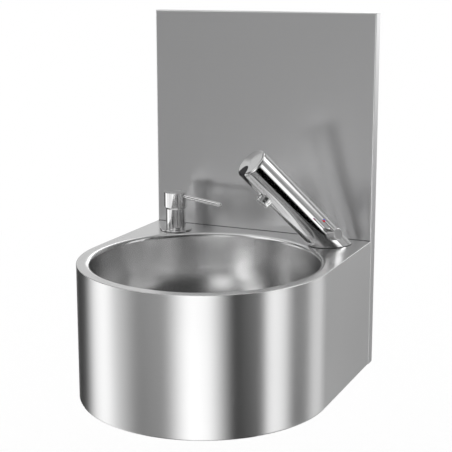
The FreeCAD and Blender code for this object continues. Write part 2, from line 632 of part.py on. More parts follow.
def make_pump_head():
    """The chrome cap: a skirt over the sleeve, a solid top and the boss that grips the stem."""
    bore = SLEEVE_RADIUS + HEAD_PLAY
    socket = STEM_RADIUS + RUNNING_FIT
    lip = bore + HEAD_LIP
    corners = [(socket, HEAD_BOSS_BOTTOM, 0), (HEAD_BOSS_RADIUS, HEAD_BOSS_BOTTOM, TURNED_EDGE),
               (HEAD_BOSS_RADIUS, HEAD_CEILING, 0), (bore, HEAD_CEILING, 0), (bore, HEAD_BOTTOM, 0),
               (lip, HEAD_BOTTOM, 0), (HEAD_RADIUS, HEAD_BOTTOM + HEAD_CHAMFER, TURNED_EDGE),
               (HEAD_RADIUS, HEAD_TOP, CHROME_EDGE), (0, HEAD_TOP, 0), (0, STEM_TOP + RUNNING_FIT, 0),
               (socket, STEM_TOP + RUNNING_FIT, 0)]
    head = lathe(corners, PUMP)
    root, course = spout_line()
    head = head.cut(rod(SPOUT_RADIUS + PART_PLAY, SPOUT_START, FAR, root, course))
    return head.cut(rod(STEM_BORE_RADIUS, STEM_TOP, SPOUT_ROOT, PUMP))


def make_pump_spout():
    """The tube from the head, its end rounded over and bored from below."""
    root, course = spout_line()
    tube = rod(SPOUT_RADIUS, SPOUT_START, SPOUT_REACH, root, course)
    tip = root + course * SPOUT_REACH
    tube = tube.fuse(Part.makeSphere(SPOUT_TIP_RADIUS, tip))
    tube = tube.cut(rod(SPOUT_RADIUS - SPOUT_WALL, SPOUT_START, SPOUT_REACH, root, course))
    return tube.cut(rod(OUTLET_RADIUS, -SPOUT_TIP_RADIUS - OVERCUT, 0, tip)).removeSplitter()


def make_pump_washer():
    low = -SHEET - PUMP_WASHER_HEIGHT
    return ring(PUMP_WASHER_RADIUS, SHANK_RADIUS + PART_PLAY, low, -SHEET, PUMP)


def make_pump_nut():
    """A round hand nut with grip scallops below its flange."""
    high = -SHEET - PUMP_WASHER_HEIGHT
    low = high - PUMP_NUT_HEIGHT
    nut = ring(PUMP_NUT_RADIUS, SHANK_RADIUS + PART_PLAY, low, high, PUMP)
    scallops = ((PUMP_NUT_RADIUS + GRIP_OFFSET, GRIP_COUNT),)
    return hole_rings(nut, scallops, GRIP_RADIUS, low - OVERCUT, high - GRIP_FLANGE, PUMP)


def make_soap_bottle():
    neck = SHANK_RADIUS + PART_PLAY + BOTTLE_WALL
    path = [(neck, -BOTTLE_NECK_TOP, 0), (neck, -BOTTLE_SHOULDER, BOTTLE_NECK_BEND),
            (BOTTLE_RADIUS, -BOTTLE_SHOULDER - BOTTLE_SHOULDER_FALL, BOTTLE_SHOULDER_BEND),
            (BOTTLE_RADIUS, -BOTTLE_BOTTOM, BOTTLE_FOOT_BEND),
            (BOTTLE_RADIUS / 3, -BOTTLE_BOTTOM, 0), (0, -BOTTLE_BOTTOM + BOTTLE_PUSH_UP, 0)]
    return lathe(closed_at_axis(sheet_corners(path, -BOTTLE_WALL)), PUMP)


def closed_at_axis(corners):
    """Moves the corners at the axis exactly onto it."""
    return [(0 if abs(across) < BOTTLE_WALL else across, up, radius) for across, up, radius in corners]


# ---------------------------------------------------------------- tap
def tap_point(along=0.0, under=0.0, side=0.0):
    return TAP + ALONG * along + UNDER * under + SIDE * side


def below(height):
    """Everything under a level, for cutting the leaning tube square to the deck."""
    return box(vec(-FAR, -FAR, -FAR), vec(FAR, FAR, height))


def sensor_prism(grow):
    """An egg-shaped bar through the corner between the end face and the underside."""
    aim = math.radians(SENSOR_AIM)
    out = ALONG * math.cos(aim) + UNDER * math.sin(aim)
    across = ALONG * math.sin(aim) - UNDER * math.cos(aim)
    centre = tap_point(TAP_LENGTH + CAP_HEIGHT / 2, TAP_RADIUS)
    wide, long = SENSOR_HALF_WIDTH + grow, SENSOR_HALF_LENGTH + grow
    blunt = Part.Arc(centre + SIDE * wide, centre + across * (long * EGG_BLUNT), centre - SIDE * wide)
    foot = centre - across * long
    left = Part.BezierCurve()
    left.setPoles([centre - SIDE * wide, centre - SIDE * wide - across * (long * EGG_FULLNESS),
                   foot - SIDE * (wide * EGG_POINT), foot])
    right = Part.BezierCurve()
    right.setPoles([foot, foot + SIDE * (wide * EGG_POINT),
                    centre + SIDE * wide - across * (long * EGG_FULLNESS), centre + SIDE * wide])
    face = Part.Face(Part.Wire([blunt.toShape(), left.toShape(), right.toShape()]))
    face.translate(out * -SENSOR_INWARD)
    return face.extrude(out * (SENSOR_INWARD + SENSOR_OUTWARD))


def tap_envelope(inset):
    """The outer form of tube and end cap together, shrunk by inset."""
    tube = rod(TAP_RADIUS - inset, TAP_LENGTH / 2, TAP_LENGTH, TAP, ALONG)
    return tube.fuse(cap_dome(inset)).removeSplitter()


def cap_dome(inset):
    radius = TAP_RADIUS - inset
    corners = [(0, TAP_LENGTH, 0), (radius, TAP_LENGTH, 0),
               (radius, TAP_LENGTH + CAP_HEIGHT - CAP_CROWN - inset, CAP_EDGE - inset),
               (0, TAP_LENGTH + CAP_HEIGHT - inset, 0)]
    return lathe(corners, TAP, ALONG)


def sensor_pocket():
    """The recess in the end cap and the tube that the window lies in."""
    return sensor_prism(SENSOR_PLAY).cut(tap_envelope(SENSOR_THICKNESS + SENSOR_PLAY))


def make_tap_body():
    tube = rod(TAP_RADIUS, -TAP_RADIUS * 2, TAP_LENGTH, TAP, ALONG).cut(below(TAP_SEAL_HEIGHT))
    outlet = tap_point(AERATOR_STATION)
    boss_face = TAP_RADIUS + AERATOR_BOSS_PROUD
    tube = tube.fuse(rod(AERATOR_BOSS_RADIUS, TAP_BORE_RADIUS, boss_face, outlet, UNDER))
    seat = rod(LEVER_SEAT_RADIUS, TAP_BORE_RADIUS, TAP_RADIUS + LEVER_SEAT_PROUD, LEVER_FOOT, LEVER_AXIS)
    tube = tube.fuse(seat)
    bore = rod(TAP_BORE_RADIUS, 0, TAP_LENGTH, TAP, ALONG).cut(below(TAP_SEAL_HEIGHT + TAP_WEB))
    tube = tube.cut(bore)
    tube = tube.cut(rod(AERATOR_THREAD_RADIUS + PART_PLAY, 0, TAP_RADIUS * 2, outlet, UNDER))
    tube = tube.cut(rod(SPINDLE_RADIUS + RUNNING_FIT, 0, TAP_RADIUS * 2, LEVER_FOOT, LEVER_AXIS))
    for foot in inlet_feet():
        tube = tube.cut(rod(INLET_RADIUS + PART_PLAY, 0, FOOT_SOCKET, foot))
    for foot in stud_feet():
        tube = tube.cut(rod(STUD_RADIUS + PART_PLAY, 0, FOOT_SOCKET, foot))
    return tube.cut(sensor_pocket()).removeSplitter()


def make_tap_end_cap():
    spigot = rod(TAP_BORE_RADIUS - SPIGOT_PLAY, TAP_LENGTH - SPIGOT_DEPTH, TAP_LENGTH, TAP, ALONG)
    cap = cap_dome(0).fuse(spigot)
    return cap.cut(sensor_pocket()).removeSplitter()


def make_sensor_window():
    return sensor_prism(0).common(tap_envelope(0)).cut(tap_envelope(SENSOR_THICKNESS)).removeSplitter()


def make_sensor_module():
    stop = TAP_LENGTH - SPIGOT_DEPTH - INNER_GAP
    start = stop - MODULE_LENGTH
    corners = [(0, start, 0), (MODULE_RADIUS, start, MOULDED_EDGE),
               (MODULE_RADIUS, stop, MOULDED_EDGE), (0, stop, 0)]
    return lathe(corners, TAP, ALONG)


def make_solenoid_valve():
    step, stop = SOLENOID_START + SOLENOID_FLANGE, SOLENOID_START + SOLENOID_LENGTH
    collar = TAP_BORE_RADIUS - INNER_GAP
    corners = [(0, SOLENOID_START, 0), (collar, SOLENOID_START, MOULDED_EDGE), (collar, step, MOULDED_EDGE),
               (SOLENOID_RADIUS, step, 0), (SOLENOID_RADIUS, stop, MOULDED_EDGE), (0, stop, 0)]
    return lathe(corners, TAP, ALONG)


def make_outlet_channel():
    """The pipe from the valve to the aerator, with its elbow."""
    start = SOLENOID_START + SOLENOID_LENGTH
    elbow = tap_point(AERATOR_STATION)
    reach = TAP_BORE_RADIUS - INNER_GAP
    pipe = rod(CHANNEL_PIPE_RADIUS, start, AERATOR_STATION, TAP, ALONG)
    pipe = pipe.fuse(rod(AERATOR_THREAD_RADIUS, -CHANNEL_PIPE_RADIUS, reach, elbow, UNDER))
    pipe = pipe.cut(rod(CHANNEL_PIPE_BORE, start, AERATOR_STATION, TAP, ALONG))
    pipe = pipe.cut(rod(AERATOR_BORE_RADIUS, 0, reach, elbow, UNDER))
    return pipe.removeSplitter()


def make_mixing_cartridge():
    """The mixer lies across the tube and turns with nothing but the spindle in its mouth."""
    mouth = TAP_RADIUS - SPINDLE_DEPTH - RUNNING_FIT
    front = math.sqrt(TAP_BORE_RADIUS ** 2 - CARTRIDGE_RADIUS ** 2) - INNER_GAP
    corners = [(0, -CARTRIDGE_BACK, 0), (CARTRIDGE_RADIUS, -CARTRIDGE_BACK, MOULDED_EDGE),
               (CARTRIDGE_RADIUS, front, 0), (SPINDLE_RADIUS + RUNNING_FIT, front, 0),
               (SPINDLE_RADIUS + RUNNING_FIT, mouth, 0), (0, mouth, 0)]
    return lathe(corners, LEVER_FOOT, LEVER_AXIS)


def make_aerator_housing():
    foot = tap_point(AERATOR_STATION)
    seat = TAP_RADIUS + AERATOR_BOSS_PROUD
    mouth = TAP_RADIUS + AERATOR_PROUD
    corners = [(AERATOR_BORE_RADIUS, TAP_BORE_RADIUS, 0), (AERATOR_THREAD_RADIUS, TAP_BORE_RADIUS, 0),
               (AERATOR_THREAD_RADIUS, seat, 0), (AERATOR_RADIUS, seat, TURNED_EDGE),
               (AERATOR_RADIUS, mouth, CHROME_EDGE), (AERATOR_BORE_RADIUS, mouth, TURNED_EDGE)]
    return lathe(corners, foot, UNDER)


def make_aerator_insert():
    foot = tap_point(AERATOR_STATION)
    mouth = TAP_RADIUS + AERATOR_PROUD - AERATOR_INSET
    start = mouth - AERATOR_WALL_DEPTH
    disc = rod(AERATOR_BORE_RADIUS - PART_PLAY, start, mouth, foot, UNDER)
    rings = ((AERATOR_INNER_RING, AERATOR_COUNT), (AERATOR_OUTER_RING, 2 * AERATOR_COUNT))
    return hole_rings(disc, rings, AERATOR_HOLE_RADIUS, start - OVERCUT, mouth + OVERCUT, foot, UNDER, SIDE)


def make_tap_base_seal():
    seal = rod(TAP_RADIUS - TAP_SEAL_INSET, -TAP_RADIUS * 2, TAP_RADIUS * 2, TAP, ALONG)
    slab = box(vec(-FAR, -FAR, 0), vec(FAR, FAR, TAP_SEAL_HEIGHT))
    return seal.common(slab).cut(rod(TAP_HOLE_RADIUS, -OVERCUT, TAP_SEAL_HEIGHT + OVERCUT, TAP))


def inlet_feet():
    return [TAP + SIDE * (INLET_SPREAD * side) for side in (-1, 1)]


def stud_feet():
    return [TAP + HEADING * (STUD_SPREAD * side) for side in (-1, 1)]


def make_tap_inlets():
    return Part.makeCompound([ring(INLET_RADIUS, INLET_BORE_RADIUS, -INLET_BOTTOM, FOOT_SOCKET, foot)
                              for foot in inlet_feet()])


def make_tap_studs():
    return Part.makeCompound([rod(STUD_RADIUS, -STUD_BOTTOM, FOOT_SOCKET, foot) for foot in stud_feet()])


def make_tap_clamp_seal():
    top = -SHEET - DOUBLER_THICKNESS
    return ring(CLAMP_RADIUS, TAP_HOLE_RADIUS, top - CLAMP_SEAL_HEIGHT, top, TAP)


def make_tap_clamp_plate():
    top = -SHEET - DOUBLER_THICKNESS - CLAMP_SEAL_HEIGHT
    low = top - CLAMP_PLATE_HEIGHT
    plate = rod(CLAMP_RADIUS, low, top, TAP)
    wide = INLET_RADIUS + CLAMP_PLAY
    long = INLET_SPREAD + wide
    corners = [(-long, -wide, CLAMP_SLOT_CORNER), (long, -wide, CLAMP_SLOT_CORNER),
               (long, wide, CLAMP_SLOT_CORNER), (-long, wide, CLAMP_SLOT_CORNER)]
    slot_length = CLAMP_PLATE_HEIGHT + 2 * OVERCUT
    plate = plate.cut(bar(corners, TAP + UP * (low - OVERCUT), SIDE, HEADING, UP * slot_length))
    for foot in stud_feet():
        plate = plate.cut(rod(STUD_RADIUS + CLAMP_PLAY, low, top, foot))
    return plate


def make_tap_nuts():
    top = -SHEET - DOUBLER_THICKNESS - CLAMP_SEAL_HEIGHT - CLAMP_PLATE_HEIGHT
    corner = NUT_ACROSS_FLATS / 2 / math.cos(math.pi / 6)
    nuts = []
    for foot in stud_feet():
        low = foot + UP * (top - NUT_HEIGHT)
        sixths = [math.pi / 3 * k for k in range(6)]
        points = [low + vec(corner * math.cos(turn), corner * math.sin(turn), 0) for turn in sixths]
        prism = Part.Face(Part.makePolygon(points + points[:1])).extrude(UP * NUT_HEIGHT)
        nuts.append(prism.cut(rod(STUD_RADIUS + PART_PLAY, top - NUT_HEIGHT, top, foot)))
    return Part.makeCompound(nuts)


# ---------------------------------------------------------------- temperature lever
def lever_pin_foot():
    return LEVER_FOOT + LEVER_AXIS * (TAP_RADIUS + LEVER_PIN_PROUD)


def make_lever_spindle():
    start, stop = TAP_RADIUS - SPINDLE_DEPTH, TAP_RADIUS + LEVER_SEAT_PROUD + LEVER_GAP
    return rod(SPINDLE_RADIUS, start, stop, LEVER_FOOT, LEVER_AXIS)


def make_lever_hub():
    start = TAP_RADIUS + LEVER_SEAT_PROUD + LEVER_GAP
    stop = TAP_RADIUS + HUB_PROUD
    corners = [(0, start, 0), (HUB_RADIUS, start, TURNED_EDGE), (HUB_RADIUS, stop, HUB_EDGE), (0, stop, 0)]
    hub = lathe(corners, LEVER_FOOT, LEVER_AXIS)
    socket = rod(LEVER_PIN_RADIUS + PART_PLAY, HUB_RADIUS / 2, HUB_RADIUS + OVERCUT, lever_pin_foot(), ALONG)
    return hub.cut(socket)


def make_lever_pin():
    return rod(LEVER_PIN_RADIUS, HUB_RADIUS / 2, LEVER_PIN_REACH - MARK_LENGTH, lever_pin_foot(), ALONG)


def mark(toward):
    """Half of the coloured tip of the lever's pin, on the given side."""
    start = LEVER_PIN_REACH - MARK_LENGTH
    tip = rod(MARK_RADIUS, start, LEVER_PIN_REACH, lever_pin_foot(), ALONG)
    half = rod(FAR, 0, FAR, lever_pin_foot(), toward)
    return tip.common(half)


# ---------------------------------------------------------------- all pieces
def main():
    os.makedirs("parts", exist_ok=True)
    pieces = {
        "bowl": make_bowl(),
        "deck": make_deck(),
        "apron": make_apron(),
        "splashback": make_splashback(),
        "hanger_rail": make_hanger_rail(),
        "wall_bracket": make_wall_bracket(),
        "lower_wall_channels": make_lower_wall_channels(),
        "tap_doubler": make_tap_doubler(),
        "strainer": make_strainer(),
        "strainer_screw": make_strainer_screw(),
        "strainer_seal": make_strainer_seal(),
        "waste_seal": make_waste_seal(),
        "waste_body": make_waste_body(),
        "pump_collar": make_pump_collar(),
        "pump_collar_seal": make_pump_collar_seal(),
        "pump_shank": make_pump_shank(),
        "pump_washer": make_pump_washer(),
        "pump_nut": make_pump_nut(),
        "soap_bottle": make_soap_bottle(),
        "pump_cylinder": make_pump_cylinder(),
        "pump_gland": make_pump_gland(),
        "inlet_ball": make_inlet_ball(),
        "dip_tube": make_dip_tube(),
        "pump_spring": make_pump_spring(),
        "pump_stem": make_pump_stem(),
        "pump_head": make_pump_head(),
        "pump_spout": make_pump_spout(),
        "tap_body": make_tap_body(),
        "tap_end_cap": make_tap_end_cap(),
        "sensor_window": make_sensor_window(),
        "sensor_module": make_sensor_module(),
        "solenoid_valve": make_solenoid_valve(),
        "outlet_channel": make_outlet_channel(),
        "mixing_cartridge": make_mixing_cartridge(),
        "aerator_housing": make_aerator_housing(),
        "aerator_insert": make_aerator_insert(),
        "tap_base_seal": make_tap_base_seal(),
        "tap_inlets": make_tap_inlets(),
        "tap_studs": make_tap_studs(),
        "tap_clamp_seal": make_tap_clamp_seal(),
        "tap_clamp_plate": make_tap_clamp_plate(),
        "tap_nuts": make_tap_nuts(),
        "lever_spindle": make_lever_spindle(),
        "lever_hub": make_lever_hub(),
        "lever_pin": make_lever_pin(),
        "hot_mark": mark(LEVER_AXIS.cross(ALONG)),
        "cold_mark": mark(ALONG.cross(LEVER_AXIS)),
    }
    for name, shape in pieces.items():
        export(name, shape)
    print("%d pieces" % len(pieces))


main()
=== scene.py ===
import logging
import math
from contextlib import contextmanager
from dataclasses import dataclass, field
from enum import Enum
from itertools import pairwise
from typing import Iterable, Iterator, Sequence

import bpy
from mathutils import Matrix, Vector


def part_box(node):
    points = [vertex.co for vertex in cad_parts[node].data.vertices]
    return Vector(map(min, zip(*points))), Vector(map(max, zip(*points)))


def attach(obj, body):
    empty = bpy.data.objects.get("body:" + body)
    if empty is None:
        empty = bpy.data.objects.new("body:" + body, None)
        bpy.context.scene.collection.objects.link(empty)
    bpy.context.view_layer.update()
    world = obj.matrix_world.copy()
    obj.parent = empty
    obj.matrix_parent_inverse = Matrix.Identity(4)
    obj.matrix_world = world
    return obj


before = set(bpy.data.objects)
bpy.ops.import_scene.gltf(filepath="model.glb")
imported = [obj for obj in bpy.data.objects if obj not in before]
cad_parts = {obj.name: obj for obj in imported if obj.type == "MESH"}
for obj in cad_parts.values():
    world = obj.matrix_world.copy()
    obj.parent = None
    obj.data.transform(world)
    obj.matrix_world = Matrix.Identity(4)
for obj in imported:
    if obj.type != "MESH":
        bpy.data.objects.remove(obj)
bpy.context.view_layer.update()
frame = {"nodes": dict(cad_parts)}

log = logging.getLogger("wash_basin")

MM = 0.001
DEGREES = math.degrees(1.0)
HALF_TURN = 180.0
UP = Vector((0.0, 0.0, 1.0))
BACK = Vector((0.0, 1.0, 0.0))
WHITE = (1.0, 1.0, 1.0, 1.0)
NOISE_RANGE = (0.3, 0.7)
MERGE_REACH = 1e-6
EDGE_ANGLE = 35.0
THREAD_ROOT = 0.15
THREAD_FLANK = 0.35
THREAD_STEPS = 32
FINE_SIDES = 8


# ---------------------------------------------------------------- places read from the frame
class Body(Enum):
    """The bodies that carry the scene's own pieces."""

    SINK = "sink"
    PUMP_CAP = "pump_cap"


def foot_of(node: str) -> Vector:
    """Where the upright axis of a node meets the plane of the deck.

    Args:
        node: the node's name.

    Returns:
        The place, in metres.
    """
    low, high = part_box(node)
    centre = (low + high) / 2
    return Vector((centre.x, centre.y, 0.0))


def bowl_axis() -> Vector:
    """The foot of the bowl's axis."""
    return foot_of("bowl")


def pump_axis() -> Vector:
    """The foot of the pump's axis."""
    return foot_of("pump_collar")


@dataclass(frozen=True)
class TapFrame:
    """Origin and directions of the leaning tap."""

    lean: float = math.radians(45.0)

    @property
    def foot(self) -> Vector:
        """Where the tap's axis meets the deck."""
        return foot_of("tap_doubler")

    @property
    def heading(self) -> Vector:
        """Level direction from the tap to the bowl's axis."""
        return (bowl_axis() - self.foot).normalized()

    @property
    def side(self) -> Vector:
        """Level direction across the tap, on the lever's side."""
        return UP.cross(self.heading)

    @property
    def along(self) -> Vector:
        """Direction of the tap's axis."""
        return self.heading * math.cos(self.lean) + UP * math.sin(self.lean)

    @property
    def under(self) -> Vector:
        """Direction of the outlet, square to the axis."""
        return self.heading * math.sin(self.lean) - UP * math.cos(self.lean)


# ---------------------------------------------------------------- shader building blocks
class Mix(Enum):
    """Kinds of Mix node: data type, sockets of both ends, socket of the result."""

    NUMBER = ("FLOAT", 2, 3, 0)
    COLOUR = ("RGBA", 6, 7, 2)


class Tree:
    """A node tree under construction."""

    def __init__(self, tree: bpy.types.NodeTree) -> None:
        """Takes over an empty node tree."""
        self.tree = tree

    def add(self, kind: str, *values: object, **settings: object) -> bpy.types.Node:
        """Adds a node, sets its own properties and feeds its inputs in their order.

        Args:
            kind: Blender's type name of the node.
            values: sockets, numbers, vectors or colours for the first inputs.
            settings: properties of the node.

        Returns:
            The node.
        """
        node = self.tree.nodes.new(kind)
        for key, value in settings.items():
            setattr(node, key, value)
        for socket, value in zip(node.inputs, values):
            self.feed(socket, value)
        return node

    def feed(self, socket: bpy.types.NodeSocket, value: object) -> None:
        """Links a socket to a value, or sets it where the value is no socket.

        Args:
            socket: the socket to feed.
            value: another node's socket, or a plain number, vector or colour.
        """
        if isinstance(value, bpy.types.NodeSocket):
            self.tree.links.new(value, socket)
        else:
            socket.default_value = value

    def math(self, operation: str, *values: object) -> bpy.types.NodeSocket:
        """The result of a Math node, with its inputs fed in order."""
        return self.add("ShaderNodeMath", *values, operation=operation).outputs[0]

    def span(self, value: object, low: float, high: float, to_low: object = 0.0,
             to_high: object = 1.0) -> bpy.types.NodeSocket:
        """Maps a value from one range to another with soft ends.

        Args:
            value: number or socket.
            low: start of the range.
            high: end of the range.
            to_low: result at the start.
            to_high: result at the end.

        Returns:
            The result's socket.
        """
        node = self.add("ShaderNodeMapRange", interpolation_type="SMOOTHSTEP")
        for name, entry in (("Value", value), ("From Min", low), ("From Max", high),
                            ("To Min", to_low), ("To Max", to_high)):
            self.feed(node.inputs[name], entry)
        return node.outputs["Result"]

    def noise(self, vector: object, scale: object, detail: float) -> bpy.types.NodeSocket:
        """A noise texture's value.

        Args:
            vector: coordinates.
            scale: size of the pattern, per metre.
            detail: octaves.

        Returns:
            The factor's socket.
        """
        node = self.add("ShaderNodeTexNoise")
        for name, entry in (("Vector", vector), ("Scale", scale), ("Detail", detail)):
            self.feed(node.inputs[name], entry)
        return node.outputs["Fac"]

    def mix(self, kind: Mix, share: object, first: object,
            second: object) -> bpy.types.NodeSocket:
        """A number or a colour between first and second.

        Args:
            kind: what is mixed.
            share: share of the second.
            first: number, colour or socket.
            second: number, colour or socket.

        Returns:
            The result's socket.
        """
        data_type, low, high, result = kind.value
        node = self.add("ShaderNodeMix", share, data_type=data_type)
        self.feed(node.inputs[low], first)
        self.feed(node.inputs[high], second)
        return node.outputs[result]

    def point(self) -> bpy.types.NodeSocket:
        """The surface point in the object's own coordinates."""
        return self.add("ShaderNodeTexCoord").outputs["Object"]

    def split(self, vector: bpy.types.NodeSocket) -> Sequence[bpy.types.NodeSocket]:
        """The three parts of a vector."""
        return self.add("ShaderNodeSeparateXYZ", vector).outputs

    def stretched(self, vector: bpy.types.NodeSocket,
                  scale: Sequence[object]) -> bpy.types.NodeSocket:
        """Scales a vector by three factors.

        Args:
            vector: the vector's socket.
            scale: three numbers or sockets.

        Returns:
            The scaled vector's socket.
        """
        parts = [self.math("MULTIPLY", part, factor)
                 for part, factor in zip(self.split(vector), scale)]
        return self.add("ShaderNodeCombineXYZ", *parts).outputs[0]


class Effect:
    """A shader node group that several finishes share; each subclass fills it in once."""

    name = ""
    numbers: dict[str, float] = {}
    outputs: tuple[str, ...] = ()

    @classmethod
    def group(cls) -> bpy.types.NodeTree:
        """The group, built at its first use.

        Returns:
            The node group.
        """
        if cls.name in bpy.data.node_groups:
            return bpy.data.node_groups[cls.name]
        group = bpy.data.node_groups.new(cls.name, "ShaderNodeTree")
        for label, value in cls.numbers.items():
            socket = group.interface.new_socket(label, in_out="INPUT",
                                                socket_type="NodeSocketFloat")
            socket.default_value = value
        for label in cls.outputs:
            group.interface.new_socket(label, in_out="OUTPUT", socket_type="NodeSocketFloat")
        tree = Tree(group)
        tree.add("NodeGroupOutput", *cls.fill(tree, tree.add("NodeGroupInput")))
        return group

    @classmethod
    def fill(cls, tree: Tree, given: bpy.types.Node) -> Sequence[bpy.types.NodeSocket]:
        """Builds the inside of the group.

        Args:
            tree: the group's tree.
            given: its input node.

        Returns:
            One socket for each output.
        """
        raise NotImplementedError

    @classmethod
    def place(cls, tree: Tree, **values: float) -> bpy.types.Node:
        """Puts the group into a material.

        Args:
            tree: the material's tree.
            values: numbers for the group's inputs, by name.

        Returns:
            The group's node.
        """
        node = tree.add("ShaderNodeGroup", node_tree=cls.group())
        for label, value in values.items():
            node.inputs[label].default_value = value
        return node


class Grain(Effect):
    """What both grains share: the detail of the strokes and the slow clouds of the polish."""

    outputs = ("Strokes", "Clouds")
    stroke_scale = 1.0
    stroke_detail = 4.0
    cloud_scale = 9.0
    cloud_detail = 2.0

    @classmethod
    def strokes(cls, tree: Tree, vector: bpy.types.NodeSocket) -> bpy.types.NodeSocket:
        """Strokes, in coordinates that are stretched along them."""
        return tree.noise(vector, cls.stroke_scale, cls.stroke_detail)

    @classmethod
    def clouds(cls, tree: Tree, point: bpy.types.NodeSocket) -> bpy.types.NodeSocket:
        """Slow clouds of the polish."""
        return tree.noise(point, cls.cloud_scale, cls.cloud_detail)


class StraightGrain(Grain):
    """Brush strokes that run level on upright sheet and across the width of the deck."""

    name = "straight_grain"
    numbers = {"Along": 5.0, "Across": 900.0}
    flat_normal = (0.6, 0.8)

    @classmethod
    def fill(cls, tree: Tree, given: bpy.types.Node) -> Sequence[bpy.types.NodeSocket]:
        """Strokes of the upright and of the flat sheet, chosen by the surface's slope."""
        point = tree.point()
        along, across = given.outputs["Along"], given.outputs["Across"]
        upright = cls.strokes(tree, tree.stretched(point, (along, along, across)))
        level = cls.strokes(tree, tree.stretched(point, (along, across, along)))
        normal = tree.split(tree.add("ShaderNodeNewGeometry").outputs["Normal"])
        flat = tree.span(tree.math("ABSOLUTE", normal[2]), *cls.flat_normal)
        return tree.mix(Mix.NUMBER, flat, upright, level), cls.clouds(tree, point)


class RoundGrain(Grain):
    """Brush strokes that run round an upright axis, as on spun sheet."""

    name = "round_grain"
    numbers = {"Axis X": 0.0, "Axis Y": 0.0, "Around": 2.0, "Across": 700.0}

    @classmethod
    def fill(cls, tree: Tree, given: bpy.types.Node) -> Sequence[bpy.types.NodeSocket]:
        """Strokes in coordinates that are turned round the axis."""
        point = tree.point()
        x, y, height = tree.split(point)
        turn, fine = given.outputs["Around"], given.outputs["Across"]
        across = tree.math("SUBTRACT", x, given.outputs["Axis X"])
        back = tree.math("SUBTRACT", y, given.outputs["Axis Y"])
        reach = tree.math("SQRT", tree.math("ADD", tree.math("MULTIPLY", across, across),
                                            tree.math("MULTIPLY", back, back)))
        unit = [tree.math("DIVIDE", part, tree.math("MAXIMUM", reach, MM))
                for part in (across, back)]
        run = tree.math("ADD", reach, height)
        drop = tree.math("SUBTRACT", reach, height)
        parts = (tree.math("MULTIPLY", unit[0], turn),
                 tree.math("ADD", tree.math("MULTIPLY", unit[1], turn),
                           tree.math("MULTIPLY", drop, fine)),
                 tree.math("MULTIPLY", run, fine))
        turned_point = tree.add("ShaderNodeCombineXYZ", *parts).outputs[0]
        return cls.strokes(tree, turned_point), cls.clouds(tree, point)


class WaterMarks(Effect):
    """Dried drops and wiping marks on metal that is used with water."""

    name = "water_marks"
    numbers = {"Size": 60.0}
    outputs = ("Spots", "Smears")
    ring_radius = 0.22
    ring_width = 0.05
    patch_scale = 24.0
    patch_detail = 1.0
    patch_range = (0.55, 0.65)
    smear_stretch = (14.0, 14.0, 5.0)
    smear_scale = 1.0
    smear_detail = 3.0

    @classmethod
    def fill(cls, tree: Tree, given: bpy.types.Node) -> Sequence[bpy.types.NodeSocket]:
        """Rings left by single drops in some patches, and broad faint smears."""
        point = tree.point()
        cells = tree.add("ShaderNodeTexVoronoi", feature="F1")
        tree.feed(cells.inputs["Vector"], point)
        tree.feed(cells.inputs["Scale"], given.outputs["Size"])
        edge = tree.math("ABSOLUTE", tree.math("SUBTRACT", cells.outputs["Distance"],
                                               cls.ring_radius))
        rings = tree.span(edge, 0.0, cls.ring_width, 1.0, 0.0)
        patches = tree.span(tree.noise(point, cls.patch_scale, cls.patch_detail),
                            *cls.patch_range)
        smears = tree.noise(tree.stretched(point, cls.smear_stretch), cls.smear_scale,
                            cls.smear_detail)
        return tree.math("MULTIPLY", rings, patches), smears


class MouldedSkin(Effect):
    """The faint texture of a moulded surface."""

    name = "moulded_skin"
    numbers = {"Scale": 2200.0}
    outputs = ("Relief", "Clouds")
    relief_detail = 2.0
    cloud_scale = 30.0
    cloud_detail = 2.0

    @classmethod
    def fill(cls, tree: Tree, given: bpy.types.Node) -> Sequence[bpy.types.NodeSocket]:
        """Fine relief, and slow clouds."""
        point = tree.point()
        return (tree.noise(point, given.outputs["Scale"], cls.relief_detail),
                tree.noise(point, cls.cloud_scale, cls.cloud_detail))


# ---------------------------------------------------------------- finishes
def about(value: float, share: float) -> tuple[float, float]:
    """The range that reaches a share of the value below and above it."""
    return value * (1.0 - share), value * (1.0 + share)


@dataclass(frozen=True)
class Finish:
    """A surface finish; subclasses shade it."""

    name: str
    slot: str
    colour: tuple[float, float, float]
    roughness: float

    def material(self) -> bpy.types.Material:
        """The material, built at its first use.

        Returns:
            The material.
        """
        if self.name in bpy.data.materials:
            return bpy.data.materials[self.name]
        material = bpy.data.materials.new(self.name)
        material.use_nodes = True
        material.node_tree.nodes.clear()
        tree = Tree(material.node_tree)
        shader = tree.add("ShaderNodeBsdfPrincipled")
        self.shade(tree, shader)
        tree.add("ShaderNodeOutputMaterial", shader.outputs[0])
        material.diffuse_color = (*self.colour, 1.0)
        return material

    def shade(self, tree: Tree, shader: bpy.types.Node) -> None:
        """Feeds the shader's sockets."""
        raise NotImplementedError

    def tint(self, tree: Tree, shader: bpy.types.Node, mask: object, share: float) -> None:
        """Varies the base colour's brightness over the surface.

        Args:
            tree: the material's tree.
            shader: the Principled shader.
            mask: where the surface is bright.
            share: how far the brightness goes down and up.
        """
        dark, light = [(*[min(part * level, 1.0) for part in self.colour], 1.0)
                       for level in about(1.0, share)]
        tree.feed(shader.inputs["Base Color"], tree.mix(Mix.COLOUR, mask, dark, light))

    def relief(self, tree: Tree, shader: bpy.types.Node, height: object, depth: float,
               strength: float) -> None:
        """Adds a bump.

        Args:
            tree: the material's tree.
            shader: the Principled shader.
            height: the height's socket, 0 to 1.
            depth: height of the relief in metres.
            strength: share of the bump.
        """
        bump = tree.add("ShaderNodeBump")
        for name, value in (("Strength", strength), ("Distance", depth), ("Height", height)):
            tree.feed(bump.inputs[name], value)
        tree.feed(shader.inputs["Normal"], bump.outputs["Normal"])


